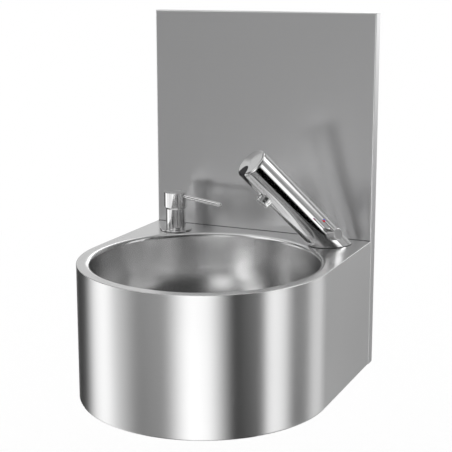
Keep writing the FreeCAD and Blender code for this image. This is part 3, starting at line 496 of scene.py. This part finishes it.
class Stroke(Enum):
    """Which way the brush went: the axis that the tangent turns about, and its turn.

    LEVEL is also the way of the spun bowl, whose strokes run round the upright axis.
    """

    LEVEL = ("Z", 0.25)
    ACROSS = ("X", 0.0)
    NONE = ("Z", 0.0)


@dataclass(frozen=True)
class BrushedSteel(Finish):
    """Stainless sheet with a satin grain."""

    stroke: Stroke = Stroke.LEVEL
    anisotropy: float = 0.75
    spun: bool = False
    contrast: float = 0.015
    depth: float = 0.000004
    relief_share: float = 0.05
    stroke_rough: float = 0.03
    cloud_rough: float = 0.02
    spot_rough: float = 0.008

    def grain(self, tree: Tree) -> bpy.types.Node:
        """The group that draws the grain.

        Args:
            tree: the material's tree.

        Returns:
            The group's node.
        """
        if not self.spun:
            return StraightGrain.place(tree)
        foot = bowl_axis()
        return RoundGrain.place(tree, **{"Axis X": foot.x, "Axis Y": foot.y})

    def shade(self, tree: Tree, shader: bpy.types.Node) -> None:
        """Strokes vary the colour, the roughness and a shallow bump."""
        grain = self.grain(tree)
        strokes, clouds = grain.outputs["Strokes"], grain.outputs["Clouds"]
        shader.inputs["Metallic"].default_value = 1.0
        self.tint(tree, shader, strokes, self.contrast)
        rough = tree.span(strokes, *NOISE_RANGE, *about(self.roughness, self.stroke_rough))
        cloudy = tree.math("MULTIPLY", rough, tree.span(clouds, *NOISE_RANGE,
                                                        *about(1.0, self.cloud_rough)))
        spots = tree.math("MULTIPLY", WaterMarks.place(tree).outputs["Spots"], self.spot_rough)
        tree.feed(shader.inputs["Roughness"], tree.math("ADD", cloudy, spots))
        self.relief(tree, shader, strokes, self.depth, self.relief_share)
        if self.stroke is not Stroke.NONE:
            axis, turn = self.stroke.value
            tangent = tree.add("ShaderNodeTangent", direction_type="RADIAL", axis=axis)
            for name, value in (("Anisotropic", self.anisotropy), ("Anisotropic Rotation", turn),
                                ("Tangent", tangent.outputs[0])):
                tree.feed(shader.inputs[name], value)


@dataclass(frozen=True)
class PolishedMetal(Finish):
    """Plated or polished metal with faint water marks."""

    mark_size: float = 110.0
    smear_range: tuple[float, float] = (0.35, 0.75)
    contrast: float = 0.03
    clean: float = 0.7
    smeared: float = 1.5
    spot_rough: float = 0.03

    def shade(self, tree: Tree, shader: bpy.types.Node) -> None:
        """Marks and smears roughen the polish a little."""
        marks = WaterMarks.place(tree, Size=self.mark_size)
        smears = marks.outputs["Smears"]
        shader.inputs["Metallic"].default_value = 1.0
        self.tint(tree, shader, smears, self.contrast)
        rough = tree.span(smears, *self.smear_range, self.roughness * self.clean,
                          self.roughness * self.smeared)
        spots = tree.math("MULTIPLY", marks.outputs["Spots"], self.spot_rough)
        tree.feed(shader.inputs["Roughness"], tree.math("ADD", rough, spots))


@dataclass(frozen=True)
class Moulded(Finish):
    """Moulded plastic or rubber."""

    contrast: float = 0.03
    depth: float = 0.00002
    relief_share: float = 0.4
    cloud_rough: float = 0.1

    def shade(self, tree: Tree, shader: bpy.types.Node) -> None:
        """A fine skin with slow clouds."""
        skin = MouldedSkin.place(tree)
        clouds = skin.outputs["Clouds"]
        self.tint(tree, shader, clouds, self.contrast)
        tree.feed(shader.inputs["Roughness"],
                  tree.span(clouds, *NOISE_RANGE, *about(self.roughness, self.cloud_rough)))
        self.relief(tree, shader, skin.outputs["Relief"], self.depth, self.relief_share)


@dataclass(frozen=True)
class Glossy(Finish):
    """Enamel or a dark glass-like cover under a clear coat."""

    coat: float = 0.6
    coat_roughness: float = 0.03
    specular: float = 0.5
    mark_size: float = 130.0
    smear_range: tuple[float, float] = (0.3, 0.8)
    contrast: float = 0.1
    clean: float = 0.8
    smeared: float = 1.6

    def shade(self, tree: Tree, shader: bpy.types.Node) -> None:
        """A coated colour with faint smears."""
        smears = WaterMarks.place(tree, Size=self.mark_size).outputs["Smears"]
        self.tint(tree, shader, smears, self.contrast)
        rough = tree.span(smears, *self.smear_range, self.roughness * self.clean,
                          self.roughness * self.smeared)
        for name, value in (("Roughness", rough), ("Specular IOR Level", self.specular),
                            ("Coat Weight", self.coat),
                            ("Coat Roughness", self.coat_roughness)):
            tree.feed(shader.inputs[name], value)


class Finishes:
    """Every finish of the basin, by what it covers."""

    SHEET = BrushedSteel("satin_sheet", "satin_steel", (0.80, 0.80, 0.80), 0.30, anisotropy=0.9)
    PANEL = BrushedSteel("satin_panel", "satin_steel", (0.78, 0.78, 0.785), 0.30, anisotropy=0.8)
    DECK = BrushedSteel("satin_deck", "satin_steel", (0.80, 0.80, 0.80), 0.26,
                        stroke=Stroke.ACROSS)
    BOWL = BrushedSteel("spun_bowl", "satin_steel", (0.80, 0.80, 0.80), 0.24,
                        spun=True, anisotropy=0.35)
    RAIL = BrushedSteel("mill_steel", "plain_steel", (0.55, 0.56, 0.57), 0.42,
                        stroke=Stroke.NONE, contrast=0.08)
    WASTE = BrushedSteel("polished_waste", "waste_steel", (0.66, 0.66, 0.66), 0.16,
                         stroke=Stroke.NONE, contrast=0.02)
    WELD = BrushedSteel("dressed_weld", "satin_steel", (0.74, 0.74, 0.74), 0.34,
                        stroke=Stroke.NONE, contrast=0.05)
    CHROME = PolishedMetal("chrome", "chrome", (0.90, 0.90, 0.91), 0.035)
    BRASS = PolishedMetal("brass", "brass", (0.72, 0.58, 0.30), 0.22)
    RUBBER = Moulded("black_rubber", "black_rubber", (0.03, 0.03, 0.03), 0.75)
    SEALANT = Moulded("grey_sealant", "black_rubber", (0.045, 0.045, 0.048), 0.6)
    WASTE_PLASTIC = Moulded("white_waste", "waste_plastic", (0.80, 0.80, 0.78), 0.45)
    BOTTLE = Moulded("milky_bottle", "bottle_plastic", (0.80, 0.82, 0.83), 0.38)
    PUMP_PLASTIC = Moulded("pump_plastic", "pump_plastic", (0.10, 0.10, 0.10), 0.45)
    VALVE_PLASTIC = Moulded("valve_plastic", "valve_plastic", (0.16, 0.16, 0.17), 0.5)
    WINDOW = Glossy("sensor_window", "dark_window", (0.012, 0.012, 0.014), 0.10,
                    coat=0.0, specular=0.12)
    RED = Glossy("red_enamel", "red_mark", (0.70, 0.04, 0.04), 0.2)
    BLUE = Glossy("blue_enamel", "blue_mark", (0.04, 0.12, 0.60), 0.2)


NODE_FINISHES: dict[Finish, tuple[str, ...]] = {
    Finishes.SHEET: ("apron",),
    Finishes.PANEL: ("splashback",),
    Finishes.DECK: ("deck",),
    Finishes.BOWL: ("bowl",),
    Finishes.RAIL: ("hanger_rail", "wall_bracket", "lower_wall_channels", "tap_doubler",
                    "tap_clamp_plate", "tap_studs", "pump_washer", "inlet_ball", "pump_spring"),
    Finishes.WASTE: ("strainer", "strainer_screw"),
    Finishes.CHROME: ("pump_collar", "pump_head", "pump_spout", "tap_body", "tap_end_cap",
                      "aerator_housing", "lever_hub", "lever_pin"),
    Finishes.BRASS: ("tap_inlets", "tap_nuts", "lever_spindle"),
    Finishes.RUBBER: ("strainer_seal", "waste_seal", "tap_base_seal", "tap_clamp_seal",
                      "pump_collar_seal"),
    Finishes.WASTE_PLASTIC: ("waste_body",),
    Finishes.BOTTLE: ("soap_bottle", "dip_tube"),
    Finishes.PUMP_PLASTIC: ("pump_shank", "pump_nut", "pump_cylinder", "pump_gland", "pump_stem"),
    Finishes.VALVE_PLASTIC: ("solenoid_valve", "outlet_channel", "mixing_cartridge",
                             "sensor_module", "aerator_insert"),
    Finishes.WINDOW: ("sensor_window",),
    Finishes.RED: ("hot_mark",),
    Finishes.BLUE: ("cold_mark",),
}


def dress_nodes() -> None:
    """Gives every node of the frame its finish."""
    for finish, nodes in NODE_FINISHES.items():
        for node in nodes:
            slots = frame["nodes"][node].material_slots
            if not slots:
                frame["nodes"][node].data.materials.append(finish.material())
            for entry in slots:
                entry.material = finish.material()
            log.info("%s: %s", node, finish.name)


# ---------------------------------------------------------------- hand tools
def pick(*pieces: bpy.types.Object) -> None:
    """Selects pieces and nothing else, and makes the first of them active.

    Args:
        pieces: the pieces.
    """
    bpy.ops.object.select_all(action="DESELECT")
    for piece in pieces:
        piece.select_set(True)
    bpy.context.view_layer.objects.active = pieces[0]


@contextmanager
def edit(piece: bpy.types.Object, mode: str = "VERT") -> Iterator[None]:
    """Opens one piece in edit mode with all of it selected, and closes it again.

    Args:
        piece: the piece.
        mode: what is selected, vertices, edges or faces.
    """
    pick(piece)
    bpy.ops.object.mode_set(mode="EDIT")
    bpy.ops.mesh.select_mode(type=mode)
    bpy.ops.mesh.select_all(action="SELECT")
    try:
        yield
    finally:
        bpy.ops.object.mode_set(mode="OBJECT")


def heal() -> None:
    """Merges doubles and turns all faces outwards, in edit mode."""
    bpy.ops.mesh.select_all(action="SELECT")
    bpy.ops.mesh.remove_doubles(threshold=MERGE_REACH)
    bpy.ops.mesh.normals_make_consistent(inside=False)


def extrude(steps: Iterable[Sequence[float]]) -> None:
    """Extrudes what is selected once for each step, in edit mode.

    Args:
        steps: where each extrusion goes, in metres.
    """
    for step in steps:
        bpy.ops.mesh.extrude_region_move(TRANSFORM_OT_translate={"value": step})


def legs(corners: Sequence[Vector]) -> list[Vector]:
    """The steps from each corner to the next."""
    return [there - here for here, there in pairwise(corners)]


def outlined(start: Sequence[float], steps: Iterable[Sequence[float]]) -> bpy.types.Object:
    """Draws the outline of a piece from corner to corner.

    Args:
        start: its first corner, in metres.
        steps: from each corner to the next, in metres.

    Returns:
        The outline, as edges without faces.
    """
    bpy.ops.object.select_all(action="DESELECT")
    bpy.ops.mesh.primitive_plane_add(size=MM, location=start)
    bpy.ops.object.transform_apply()
    piece = bpy.context.object
    with edit(piece):
        bpy.ops.mesh.merge(type="CENTER")
        extrude(steps)
    return piece


def trapezium(middle: float, half: float, crest: float, base: float,
              top: float) -> list[tuple[float, float]]:
    """The closed outline of a ridge, with coordinates (across, along).

    Args:
        middle: where the middle of the base lies along it.
        half: half the length of the base.
        crest: half the length of the crest.
        base: where the base lies across.
        top: where the crest lies across.

    Returns:
        Its corners, with the first of them again at the end.
    """
    return [(base, middle - half), (top, middle - crest), (top, middle + crest),
            (base, middle + half), (base, middle - half)]


def turned(foot: Vector, axis: Vector, profile: Sequence[tuple[float, float]],
           steps: int) -> bpy.types.Object:
    """Turns a piece: its outline is drawn from corner to corner and spun round an axis.

    Args:
        foot: origin of the heights on the axis.
        axis: direction of the axis.
        profile: corners (radius, height) in millimetres.
        steps: steps of the full turn.

    Returns:
        The piece.
    """
    out = axis.orthogonal().normalized()
    corners = [foot + (out * radius + axis * height) * MM for radius, height in profile]
    piece = outlined(corners[0], legs(corners))
    with edit(piece):
        bpy.ops.mesh.spin(steps=steps, angle=math.tau, center=foot, axis=axis)
        heal()
    return piece


def wound(foot: Vector, axis: Vector, radius: float, depth: float, pitch: float, start: float,
          stop: float) -> bpy.types.Object:
    """Winds a thread's ridge round an axis.

    Args:
        foot: origin of the heights on the axis.
        axis: direction of the axis.
        radius: radius of the core, in millimetres.
        depth: height of the ridge, in millimetres.
        pitch: distance between turns, in millimetres.
        start: height of the first turn, in millimetres.
        stop: height of the last turn, in millimetres.

    Returns:
        The piece.
    """
    sunk, half = THREAD_ROOT * MM, pitch * MM * THREAD_FLANK
    rise = depth * MM + sunk
    piece = outlined((radius * MM - sunk, 0.0, start * MM),
                     ((0.0, 0.0, -half), (rise, 0.0, half), (-rise, 0.0, half), (0.0, 0.0, -half)))
    with edit(piece):
        bpy.ops.mesh.remove_doubles(threshold=MERGE_REACH)
    screw = piece.modifiers.new("thread", "SCREW")
    screw.screw_offset = pitch * MM
    screw.iterations = int((stop - start) / pitch)
    screw.steps = screw.render_steps = THREAD_STEPS
    screw.use_merge_vertices = True
    bpy.ops.object.modifier_apply(modifier=screw.name)
    with edit(piece):
        bpy.ops.mesh.fill_holes(sides=0)
        heal()
    piece.rotation_mode = "QUATERNION"
    piece.rotation_quaternion = axis.to_track_quat("Z", "Y")
    piece.location = foot
    bpy.ops.object.transform_apply()
    return piece


def drawn(corners: Sequence[Vector], radius: float, sides: int = 12) -> bpy.types.Object:
    """Draws a round bead from corner to corner.

    Args:
        corners: the bead's middle line, in metres.
        radius: its radius, in millimetres.
        sides: sides of its section.

    Returns:
        The piece.
    """
    steps = legs(corners)
    facing = steps[0].normalized().to_track_quat("Z", "Y").to_euler()
    bpy.ops.object.select_all(action="DESELECT")
    bpy.ops.mesh.primitive_circle_add(vertices=sides, radius=radius * MM, fill_type="NGON",
                                      location=corners[0], rotation=facing)
    bpy.ops.object.transform_apply()
    piece = bpy.context.object
    with edit(piece, "FACE"):
        extrude(steps)
        heal()
    return piece


def copied(piece: bpy.types.Object, shift: Vector) -> bpy.types.Object:
    """Copies a piece with its own mesh to a place beside it.

    Args:
        piece: the piece.
        shift: from the piece to its copy, in metres.

    Returns:
        The copy.
    """
    pick(piece)
    bpy.ops.object.duplicate(linked=False)
    copy = bpy.context.object
    copy.location = shift
    bpy.ops.object.transform_apply()
    return copy


def joined(pieces: Sequence[bpy.types.Object]) -> bpy.types.Object:
    """Joins pieces into the first of them.

    Args:
        pieces: the pieces.

    Returns:
        The first piece, with the others in it.
    """
    pick(*pieces)
    bpy.ops.object.join()
    return pieces[0]


def rounded(piece: bpy.types.Object, width: float, segments: int) -> None:
    """Rounds a piece's edges.

    Args:
        piece: the piece.
        width: size of the rounding, in millimetres.
        segments: its steps.
    """
    pick(piece)
    bevel = piece.modifiers.new("edges", "BEVEL")
    bevel.width = width * MM
    bevel.segments = segments
    bevel.limit_method = "ANGLE"
    bevel.angle_limit = math.radians(EDGE_ANGLE)
    bpy.ops.object.modifier_apply(modifier=bevel.name)


def hand_over(piece: bpy.types.Object, name: str, body: Body, finish: Finish,
              crease: float = 32.0) -> None:
    """Names, shades and dresses a finished piece and lets it ride on its body.

    Args:
        piece: the piece.
        name: its name.
        body: the body that carries it.
        finish: its finish.
        crease: edges sharper than this many degrees stay crisp.
    """
    pick(piece)
    piece.name = piece.data.name = name
    bpy.ops.object.shade_smooth_by_angle(angle=math.radians(crease))
    piece.data.materials.clear()
    piece.data.materials.append(finish.material())
    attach(piece, body.value)
    log.info("%s: %d faces, %s", name, len(piece.data.polygons), finish.name)


# ---------------------------------------------------------------- sub-assemblies
@dataclass(frozen=True)
class SheetBody:
    """Joints of the folded sheets, in millimetres."""

    half_width: float = 200.0
    joint_end: float = 198.6
    joint_radius: float = 0.75
    panel_face: float = -20.0
    seam_radius: float = 0.45
    seam_top: float = -2.0
    seam_bottom: float = -212.0
    rail: float = 1.5
    spot_drop: float = 26.0
    spot_pitch: float = 62.0
    spot_count: int = 5
    spot_radius: float = 3.0
    spot_steps: int = 20
    spot_profile: tuple[tuple[float, float], ...] = (
        (0.0, -0.1), (0.0, 0.25), (0.5, 0.25), (0.7, -0.1), (0.85, 0.3), (1.0, -0.1), (0.0, -0.1))
    opening_radius: float = 187.0
    weld_drop: float = -1.3
    weld_radius: float = 0.9
    weld_sides: int = 8
    weld_steps: int = 160
    weld_crease: float = 60.0
    corner_height: float = 374.7
    corner_half_width: float = 199.7
    corner_front: float = -19.0
    corner_back: float = -1.0

    def joint(self) -> None:
        """The sealed joint between deck and splashback."""
        ends = [Vector((side * self.joint_end, self.panel_face, 0.0)) * MM
                for side in (-1.0, 1.0)]
        hand_over(drawn(ends, self.joint_radius), "splash_joint", Body.SINK, Finishes.SEALANT)

    def seams(self) -> None:
        """The welded seams between the apron's sides and the panel's returns."""
        ends = [Vector((self.half_width, self.panel_face, height)) * MM
                for height in (self.seam_bottom, self.seam_top)]
        right = drawn(ends, self.seam_radius)
        left = copied(right, Vector((-2.0 * self.half_width * MM, 0.0, 0.0)))
        for side, piece in (("right", right), ("left", left)):
            hand_over(piece, f"{side}_seam", Body.SINK, Finishes.WELD)

    def spots(self) -> None:
        """Spot welds that hold the hanger rail behind the panel.

        The profile of a weld has its radii as shares of its own radius.
        """
        rail_low, rail_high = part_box("hanger_rail")
        first_place = Vector((-self.spot_pitch * (self.spot_count - 1) / 2,
                              rail_low.y / MM + self.rail, rail_high.z / MM - self.spot_drop))
        profile = [(self.spot_radius * share, height) for share, height in self.spot_profile]
        first = turned(first_place * MM, BACK, profile, self.spot_steps)
        row = [first] + [copied(first, Vector((step * self.spot_pitch * MM, 0.0, 0.0)))
                         for step in range(1, self.spot_count)]
        hand_over(joined(row), "rail_spot_welds", Body.SINK, Finishes.WELD)

    def rim_weld(self) -> None:
        """The weld under the deck, where the bowl's rim meets the plate."""
        turns = [step * math.tau / self.weld_sides for step in range(self.weld_sides + 1)]
        profile = [(self.opening_radius + self.weld_radius * math.cos(turn),
                    self.weld_drop + self.weld_radius * math.sin(turn)) for turn in turns]
        hand_over(turned(bowl_axis(), UP, profile, self.weld_steps), "rim_weld", Body.SINK,
                  Finishes.WELD, crease=self.weld_crease)

    def corners(self) -> None:
        """The ground welds at the panel's two upper corners."""
        ends = [Vector((self.corner_half_width, depth, self.corner_height)) * MM
                for depth in (self.corner_front, self.corner_back)]
        right = drawn(ends, self.seam_radius)
        left = copied(right, Vector((-2.0 * self.corner_half_width * MM, 0.0, 0.0)))
        hand_over(joined([right, left]), "corner_seams", Body.SINK, Finishes.WELD)

    def build(self) -> None:
        """Builds the joints."""
        self.joint()
        self.seams()
        self.spots()
        self.rim_weld()
        self.corners()


@dataclass(frozen=True)
class Waste:
    """Details of the waste, in millimetres."""

    tail_radius: float = 20.95
    thread_pitch: float = 2.31
    thread_depth: float = 0.45
    thread_top: float = -170.0
    thread_bottom: float = -201.0

    def build(self) -> None:
        """The pipe thread of the tail."""
        ridge = wound(bowl_axis(), UP, self.tail_radius, self.thread_depth, self.thread_pitch,
                      self.thread_bottom, self.thread_top)
        hand_over(ridge, "tail_thread", Body.SINK, Finishes.WASTE_PLASTIC)


@dataclass(frozen=True)
class SoapPump:
    """Details of the soap pump, in millimetres."""

    shank_radius: float = 13.0
    thread_pitch: float = 2.0
    thread_depth: float = 0.4
    thread_top: float = -18.0
    thread_bottom: float = -29.0
    bottle_radius: float = 31.0
    hoop_heights: tuple[float, ...] = (-72.0, -182.0)
    hoop_half: float = 1.6
    hoop_crest: float = 1.6 / 3
    hoop_depth: float = 0.5
    hoop_edge: float = 0.3
    hoop_edge_steps: int = 2
    seam_top: float = -66.0
    seam_bottom: float = -190.0
    seam_radius: float = 0.35
    crown_radius: float = 13.0
    crown_half: float = 0.5
    crown_crest: float = 0.25
    crown_proud: float = 0.15
    ring_steps: int = 96

    def shank(self) -> None:
        """The thread that the nut and the bottle turn on."""
        ridge = wound(pump_axis(), UP, self.shank_radius, self.thread_depth, self.thread_pitch,
                      self.thread_bottom, self.thread_top)
        hand_over(ridge, "shank_thread", Body.SINK, Finishes.PUMP_PLASTIC)

    def hoops(self) -> None:
        """Stiffening hoops round the bottle."""
        inner, outer = self.bottle_radius - THREAD_ROOT, self.bottle_radius + self.hoop_depth
        for spot, height in zip(("upper", "lower"), self.hoop_heights):
            profile = trapezium(height, self.hoop_half, self.hoop_crest, inner, outer)
            hoop = turned(pump_axis(), UP, profile, self.ring_steps)
            rounded(hoop, self.hoop_edge, self.hoop_edge_steps)
            hand_over(hoop, f"bottle_{spot}_hoop", Body.SINK, Finishes.BOTTLE)

    def seams(self) -> None:
        """The mould's parting line on both sides of the bottle."""
        reach = Vector((self.bottle_radius * MM, 0.0, 0.0))
        ends = [pump_axis() + reach + UP * height * MM
                for height in (self.seam_bottom, self.seam_top)]
        right = drawn(ends, self.seam_radius, FINE_SIDES)
        left = copied(right, reach * -2.0)
        hand_over(joined([right, left]), "bottle_seams", Body.SINK, Finishes.BOTTLE)

    def crown(self) -> None:
        """The turned ring on the head's top."""
        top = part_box("pump_head")[1].z / MM
        ridge = trapezium(self.crown_radius, self.crown_half, self.crown_crest,
                          top - THREAD_ROOT, top + self.crown_proud)
        profile = [(radius, height) for height, radius in ridge]
        ring = turned(pump_axis(), UP, profile, self.ring_steps)
        hand_over(ring, "head_ring", Body.PUMP_CAP, Finishes.CHROME)

    def build(self) -> None:
        """Builds the details of the pump."""
        self.shank()
        self.hoops()
        self.seams()
        self.crown()


@dataclass(frozen=True)
class Tap:
    """Details of the tap, in millimetres."""

    frame: TapFrame = TapFrame()
    radius: float = 27.0
    length: float = 205.0
    groove_half: float = 0.3
    groove_depth: float = 0.4
    groove_proud: float = 0.05
    groove_steps: int = 128
    stud_spread: float = 12.0
    stud_radius: float = 3.9
    stud_pitch: float = 1.25
    thread_depth: float = 0.25
    stud_top: float = -17.0
    stud_bottom: float = -43.0
    outlet_station: float = 147.5
    screen_reach: float = 34.1
    screen_radius: float = 9.35
    wire_radius: float = 0.16
    wire_pitch: float = 1.7
    wires_each_side: int = 5

    def groove(self) -> None:
        """The dark joint between the tube and its end cap."""
        profile = trapezium(self.length, self.groove_half, self.groove_half,
                            self.radius - self.groove_depth, self.radius + self.groove_proud)
        ring = turned(self.frame.foot, self.frame.along, profile, self.groove_steps)
        hand_over(ring, "cap_joint", Body.SINK, Finishes.SEALANT)

    def studs(self) -> None:
        """The threads of the two fixing studs."""
        shift = self.frame.heading * self.stud_spread * MM
        first = wound(self.frame.foot + shift, UP, self.stud_radius, self.thread_depth,
                      self.stud_pitch, self.stud_bottom, self.stud_top)
        second = copied(first, shift * -2.0)
        hand_over(joined([first, second]), "stud_threads", Body.SINK, Finishes.RAIL)

    def screen(self) -> None:
        """The woven screen in the aerator's mouth."""
        along, side = self.frame.along, self.frame.side
        mouth = along * self.outlet_station + self.frame.under * self.screen_reach
        centre = self.frame.foot + mouth * MM
        wires = []
        for run, across in ((along, side), (side, along)):
            for step in range(-self.wires_each_side, self.wires_each_side + 1):
                apart = step * self.wire_pitch
                half = math.sqrt(self.screen_radius ** 2 - apart ** 2)
                ends = [centre + (across * apart + run * reach) * MM for reach in (-half, half)]
                wires.append(drawn(ends, self.wire_radius, FINE_SIDES))
        hand_over(joined(wires), "aerator_screen", Body.SINK, Finishes.WASTE)

    def build(self) -> None:
        """Builds the details of the tap."""
        self.groove()
        self.studs()
        self.screen()


# ---------------------------------------------------------------- studio
@dataclass(frozen=True)
class LightPanel:
    """A soft panel of light, or a dark flag, in the studio round the basin, in degrees.

    Azimuth 0 is in front of the basin and grows towards its right.
    """

    azimuth: float
    half_width: float
    soft: float
    level: float
    elevation: float
    half_height: float
    soft_height: float

    def light(self, tree: Tree, azimuth: object, elevation: object) -> bpy.types.NodeSocket:
        """The panel's light as a soft bump over direction.

        Args:
            tree: the world's tree.
            azimuth: azimuth of the direction, in degrees.
            elevation: elevation of the direction, in degrees.

        Returns:
            The light's socket.
        """
        offset = tree.math("WRAP", tree.math("SUBTRACT", azimuth, self.azimuth),
                           HALF_TURN, -HALF_TURN)
        across = tree.span(tree.math("ABSOLUTE", offset), self.half_width - self.soft / 2,
                           self.half_width + self.soft / 2, self.level, 0.0)
        rise = tree.math("ABSOLUTE", tree.math("SUBTRACT", elevation, self.elevation))
        upright = tree.span(rise, self.half_height, self.half_height + self.soft_height,
                            1.0, 0.0)
        return tree.math("MULTIPLY", across, upright)


@dataclass
class Studio:
    """Camera, world and floor."""

    camera_place: Vector = field(default_factory=lambda: Vector((730.8, -1755.9, 437.5)) * MM)
    camera_azimuth: float = 24.38
    camera_pitch: float = 11.22
    lens: float = 88.65
    shift: tuple[float, float] = (-0.011, -0.0708)
    floor_height: float = -0.87
    floor_radius: float = 4.0
    floor_sides: int = 96
    base_level: float = 0.05
    plain_level: float = 1.0
    backdrop_level: float = 1.0
    overhead_level: float = 0.8
    overhead_range: tuple[float, float] = (58.0, 75.0)
    panels: tuple[LightPanel, ...] = (
        LightPanel(-80.0, 15.0, 26.0, 1.25, -23.0, 30.0, 16.0),
        LightPanel(-59.0, 13.0, 24.0, 0.45, -34.0, 28.0, 16.0),
        LightPanel(-8.0, 19.0, 22.0, 0.135, -20.0, 45.0, 16.0),
        LightPanel(19.0, 19.0, 28.0, 1.46, -28.0, 28.0, 10.0),
        LightPanel(-31.0, 13.0, 14.0, 0.55, 22.5, 7.0, 5.0),
        LightPanel(5.0, 21.0, 20.0, 0.22, 40.0, 20.0, 10.0),
        LightPanel(8.0, 11.0, 14.0, 0.62, 22.0, 8.0, 8.0),
        LightPanel(91.0, 12.0, 16.0, 1.15, -16.0, 26.0, 12.0),
        LightPanel(141.0, 11.0, 14.0, 0.68, -25.0, 23.0, 14.0),
        LightPanel(158.0, 12.0, 14.0, 0.25, -20.0, 30.0, 14.0),
        LightPanel(122.0, 16.0, 20.0, 2.9, 35.0, 13.0, 10.0),
        LightPanel(178.0, 19.0, 16.0, 1.60, 44.0, 42.0, 12.0),
        LightPanel(-157.0, 20.0, 12.0, 0.68, -10.0, 90.0, 12.0),
        LightPanel(-117.0, 8.0, 8.0, 0.58, 24.0, 6.5, 5.0),
        LightPanel(118.0, 26.0, 40.0, 0.35, 6.0, 8.0, 8.0),
        LightPanel(-27.0, 28.0, 16.0, 0.85, -11.5, 2.5, 1.5),
        LightPanel(50.0, 16.0, 20.0, 0.12, -50.0, 14.0, 10.0),
        LightPanel(70.0, 14.0, 16.0, 0.46, -5.0, 6.0, 4.0),
        LightPanel(-56.0, 26.0, 20.0, 1.15, 49.0, 16.0, 8.0),
    )
    flags: tuple[LightPanel, ...] = (
        LightPanel(64.0, 15.0, 1.0, 1.0, -29.0, 16.0, 1.0),
        LightPanel(98.0, 8.0, 4.0, 0.75, 7.0, 5.0, 2.5),
    )

    def aim_camera(self) -> None:
        """Sets the camera where the photograph was taken from."""
        camera = bpy.data.cameras.new("camera")
        camera.lens = self.lens
        camera.shift_x, camera.shift_y = self.shift
        holder = bpy.data.objects.new("camera", camera)
        bpy.context.scene.collection.objects.link(holder)
        holder.location = self.camera_place
        turn, pitch = math.radians(self.camera_azimuth), math.radians(self.camera_pitch)
        sight = Vector((-math.sin(turn) * math.cos(pitch), math.cos(turn) * math.cos(pitch),
                        -math.sin(pitch)))
        holder.rotation_mode = "QUATERNION"
        holder.rotation_quaternion = sight.to_track_quat("-Z", "Y")
        bpy.context.scene.camera = holder

    def mirrored(self, tree: Tree) -> bpy.types.NodeSocket:
        """The studio's light that is mirrored in the metal.

        Args:
            tree: the world's tree.

        Returns:
            The light's socket.
        """
        x, y, z = tree.split(tree.add("ShaderNodeTexCoord").outputs["Generated"])
        turn = tree.math("ARCTAN2", x, tree.math("MULTIPLY", y, -1.0))
        azimuth, elevation = [tree.math("MULTIPLY", angle, DEGREES)
                              for angle in (turn, tree.math("ARCSINE", z))]
        level: object = self.base_level
        for panel in self.panels:
            level = tree.math("ADD", level, panel.light(tree, azimuth, elevation))
        for flag in self.flags:
            shade = tree.math("SUBTRACT", 1.0, flag.light(tree, azimuth, elevation))
            level = tree.math("MULTIPLY", level, shade)
        overhead = tree.span(elevation, *self.overhead_range)
        return tree.mix(Mix.NUMBER, overhead, level, self.overhead_level)

    def light(self) -> None:
        """Builds the world: a studio in the mirrors, plain light, and a white backdrop."""
        world = bpy.data.worlds.new("studio")
        bpy.context.scene.world = world
        world.use_nodes = True
        world.node_tree.nodes.clear()
        tree = Tree(world.node_tree)
        rays = tree.add("ShaderNodeLightPath").outputs
        seen = tree.add("ShaderNodeBackground", WHITE, self.mirrored(tree)).outputs[0]
        for ray, level in (("Is Diffuse Ray", self.plain_level),
                           ("Is Camera Ray", self.backdrop_level)):
            plain = tree.add("ShaderNodeBackground", WHITE, level)
            seen = tree.add("ShaderNodeMixShader", rays[ray], seen, plain.outputs[0]).outputs[0]
        tree.add("ShaderNodeOutputWorld", seen)
        world.cycles.sampling_method = "NONE"

    def lay_floor(self) -> None:
        """A pale round floor at standing height below the basin, seen from above only."""
        bpy.ops.mesh.primitive_circle_add(vertices=self.floor_sides, radius=self.floor_radius,
                                          fill_type="NGON",
                                          location=(*bowl_axis().xy, self.floor_height))
        floor = bpy.context.object
        floor.name = "floor"
        material = bpy.data.materials.new("floor")
        material.use_nodes = True
        material.node_tree.nodes.clear()
        tree = Tree(material.node_tree)
        pale = tree.add("ShaderNodeBsdfDiffuse", WHITE)
        clear = tree.add("ShaderNodeBsdfTransparent")
        glossy = tree.add("ShaderNodeLightPath").outputs["Is Glossy Ray"]
        behind = tree.add("ShaderNodeNewGeometry").outputs["Backfacing"]
        seen = tree.add("ShaderNodeMixShader", tree.math("MAXIMUM", glossy, behind),
                        pale.outputs[0], clear.outputs[0])
        tree.add("ShaderNodeOutputMaterial", seen.outputs[0])
        floor.data.materials.append(material)

    def build(self) -> None:
        """Builds camera, world and floor."""
        self.aim_camera()
        self.light()
        self.lay_floor()
        bpy.context.scene.view_settings.view_transform = "Standard"


def main() -> None:
    """Builds the whole scene."""
    logging.basicConfig(level=logging.INFO, format="%(name)s: %(message)s")
    Studio().build()
    dress_nodes()
    for assembly in (SheetBody(), Waste(), SoapPump(), Tap()):
        assembly.build()


if __name__ == "__main__":
    main()
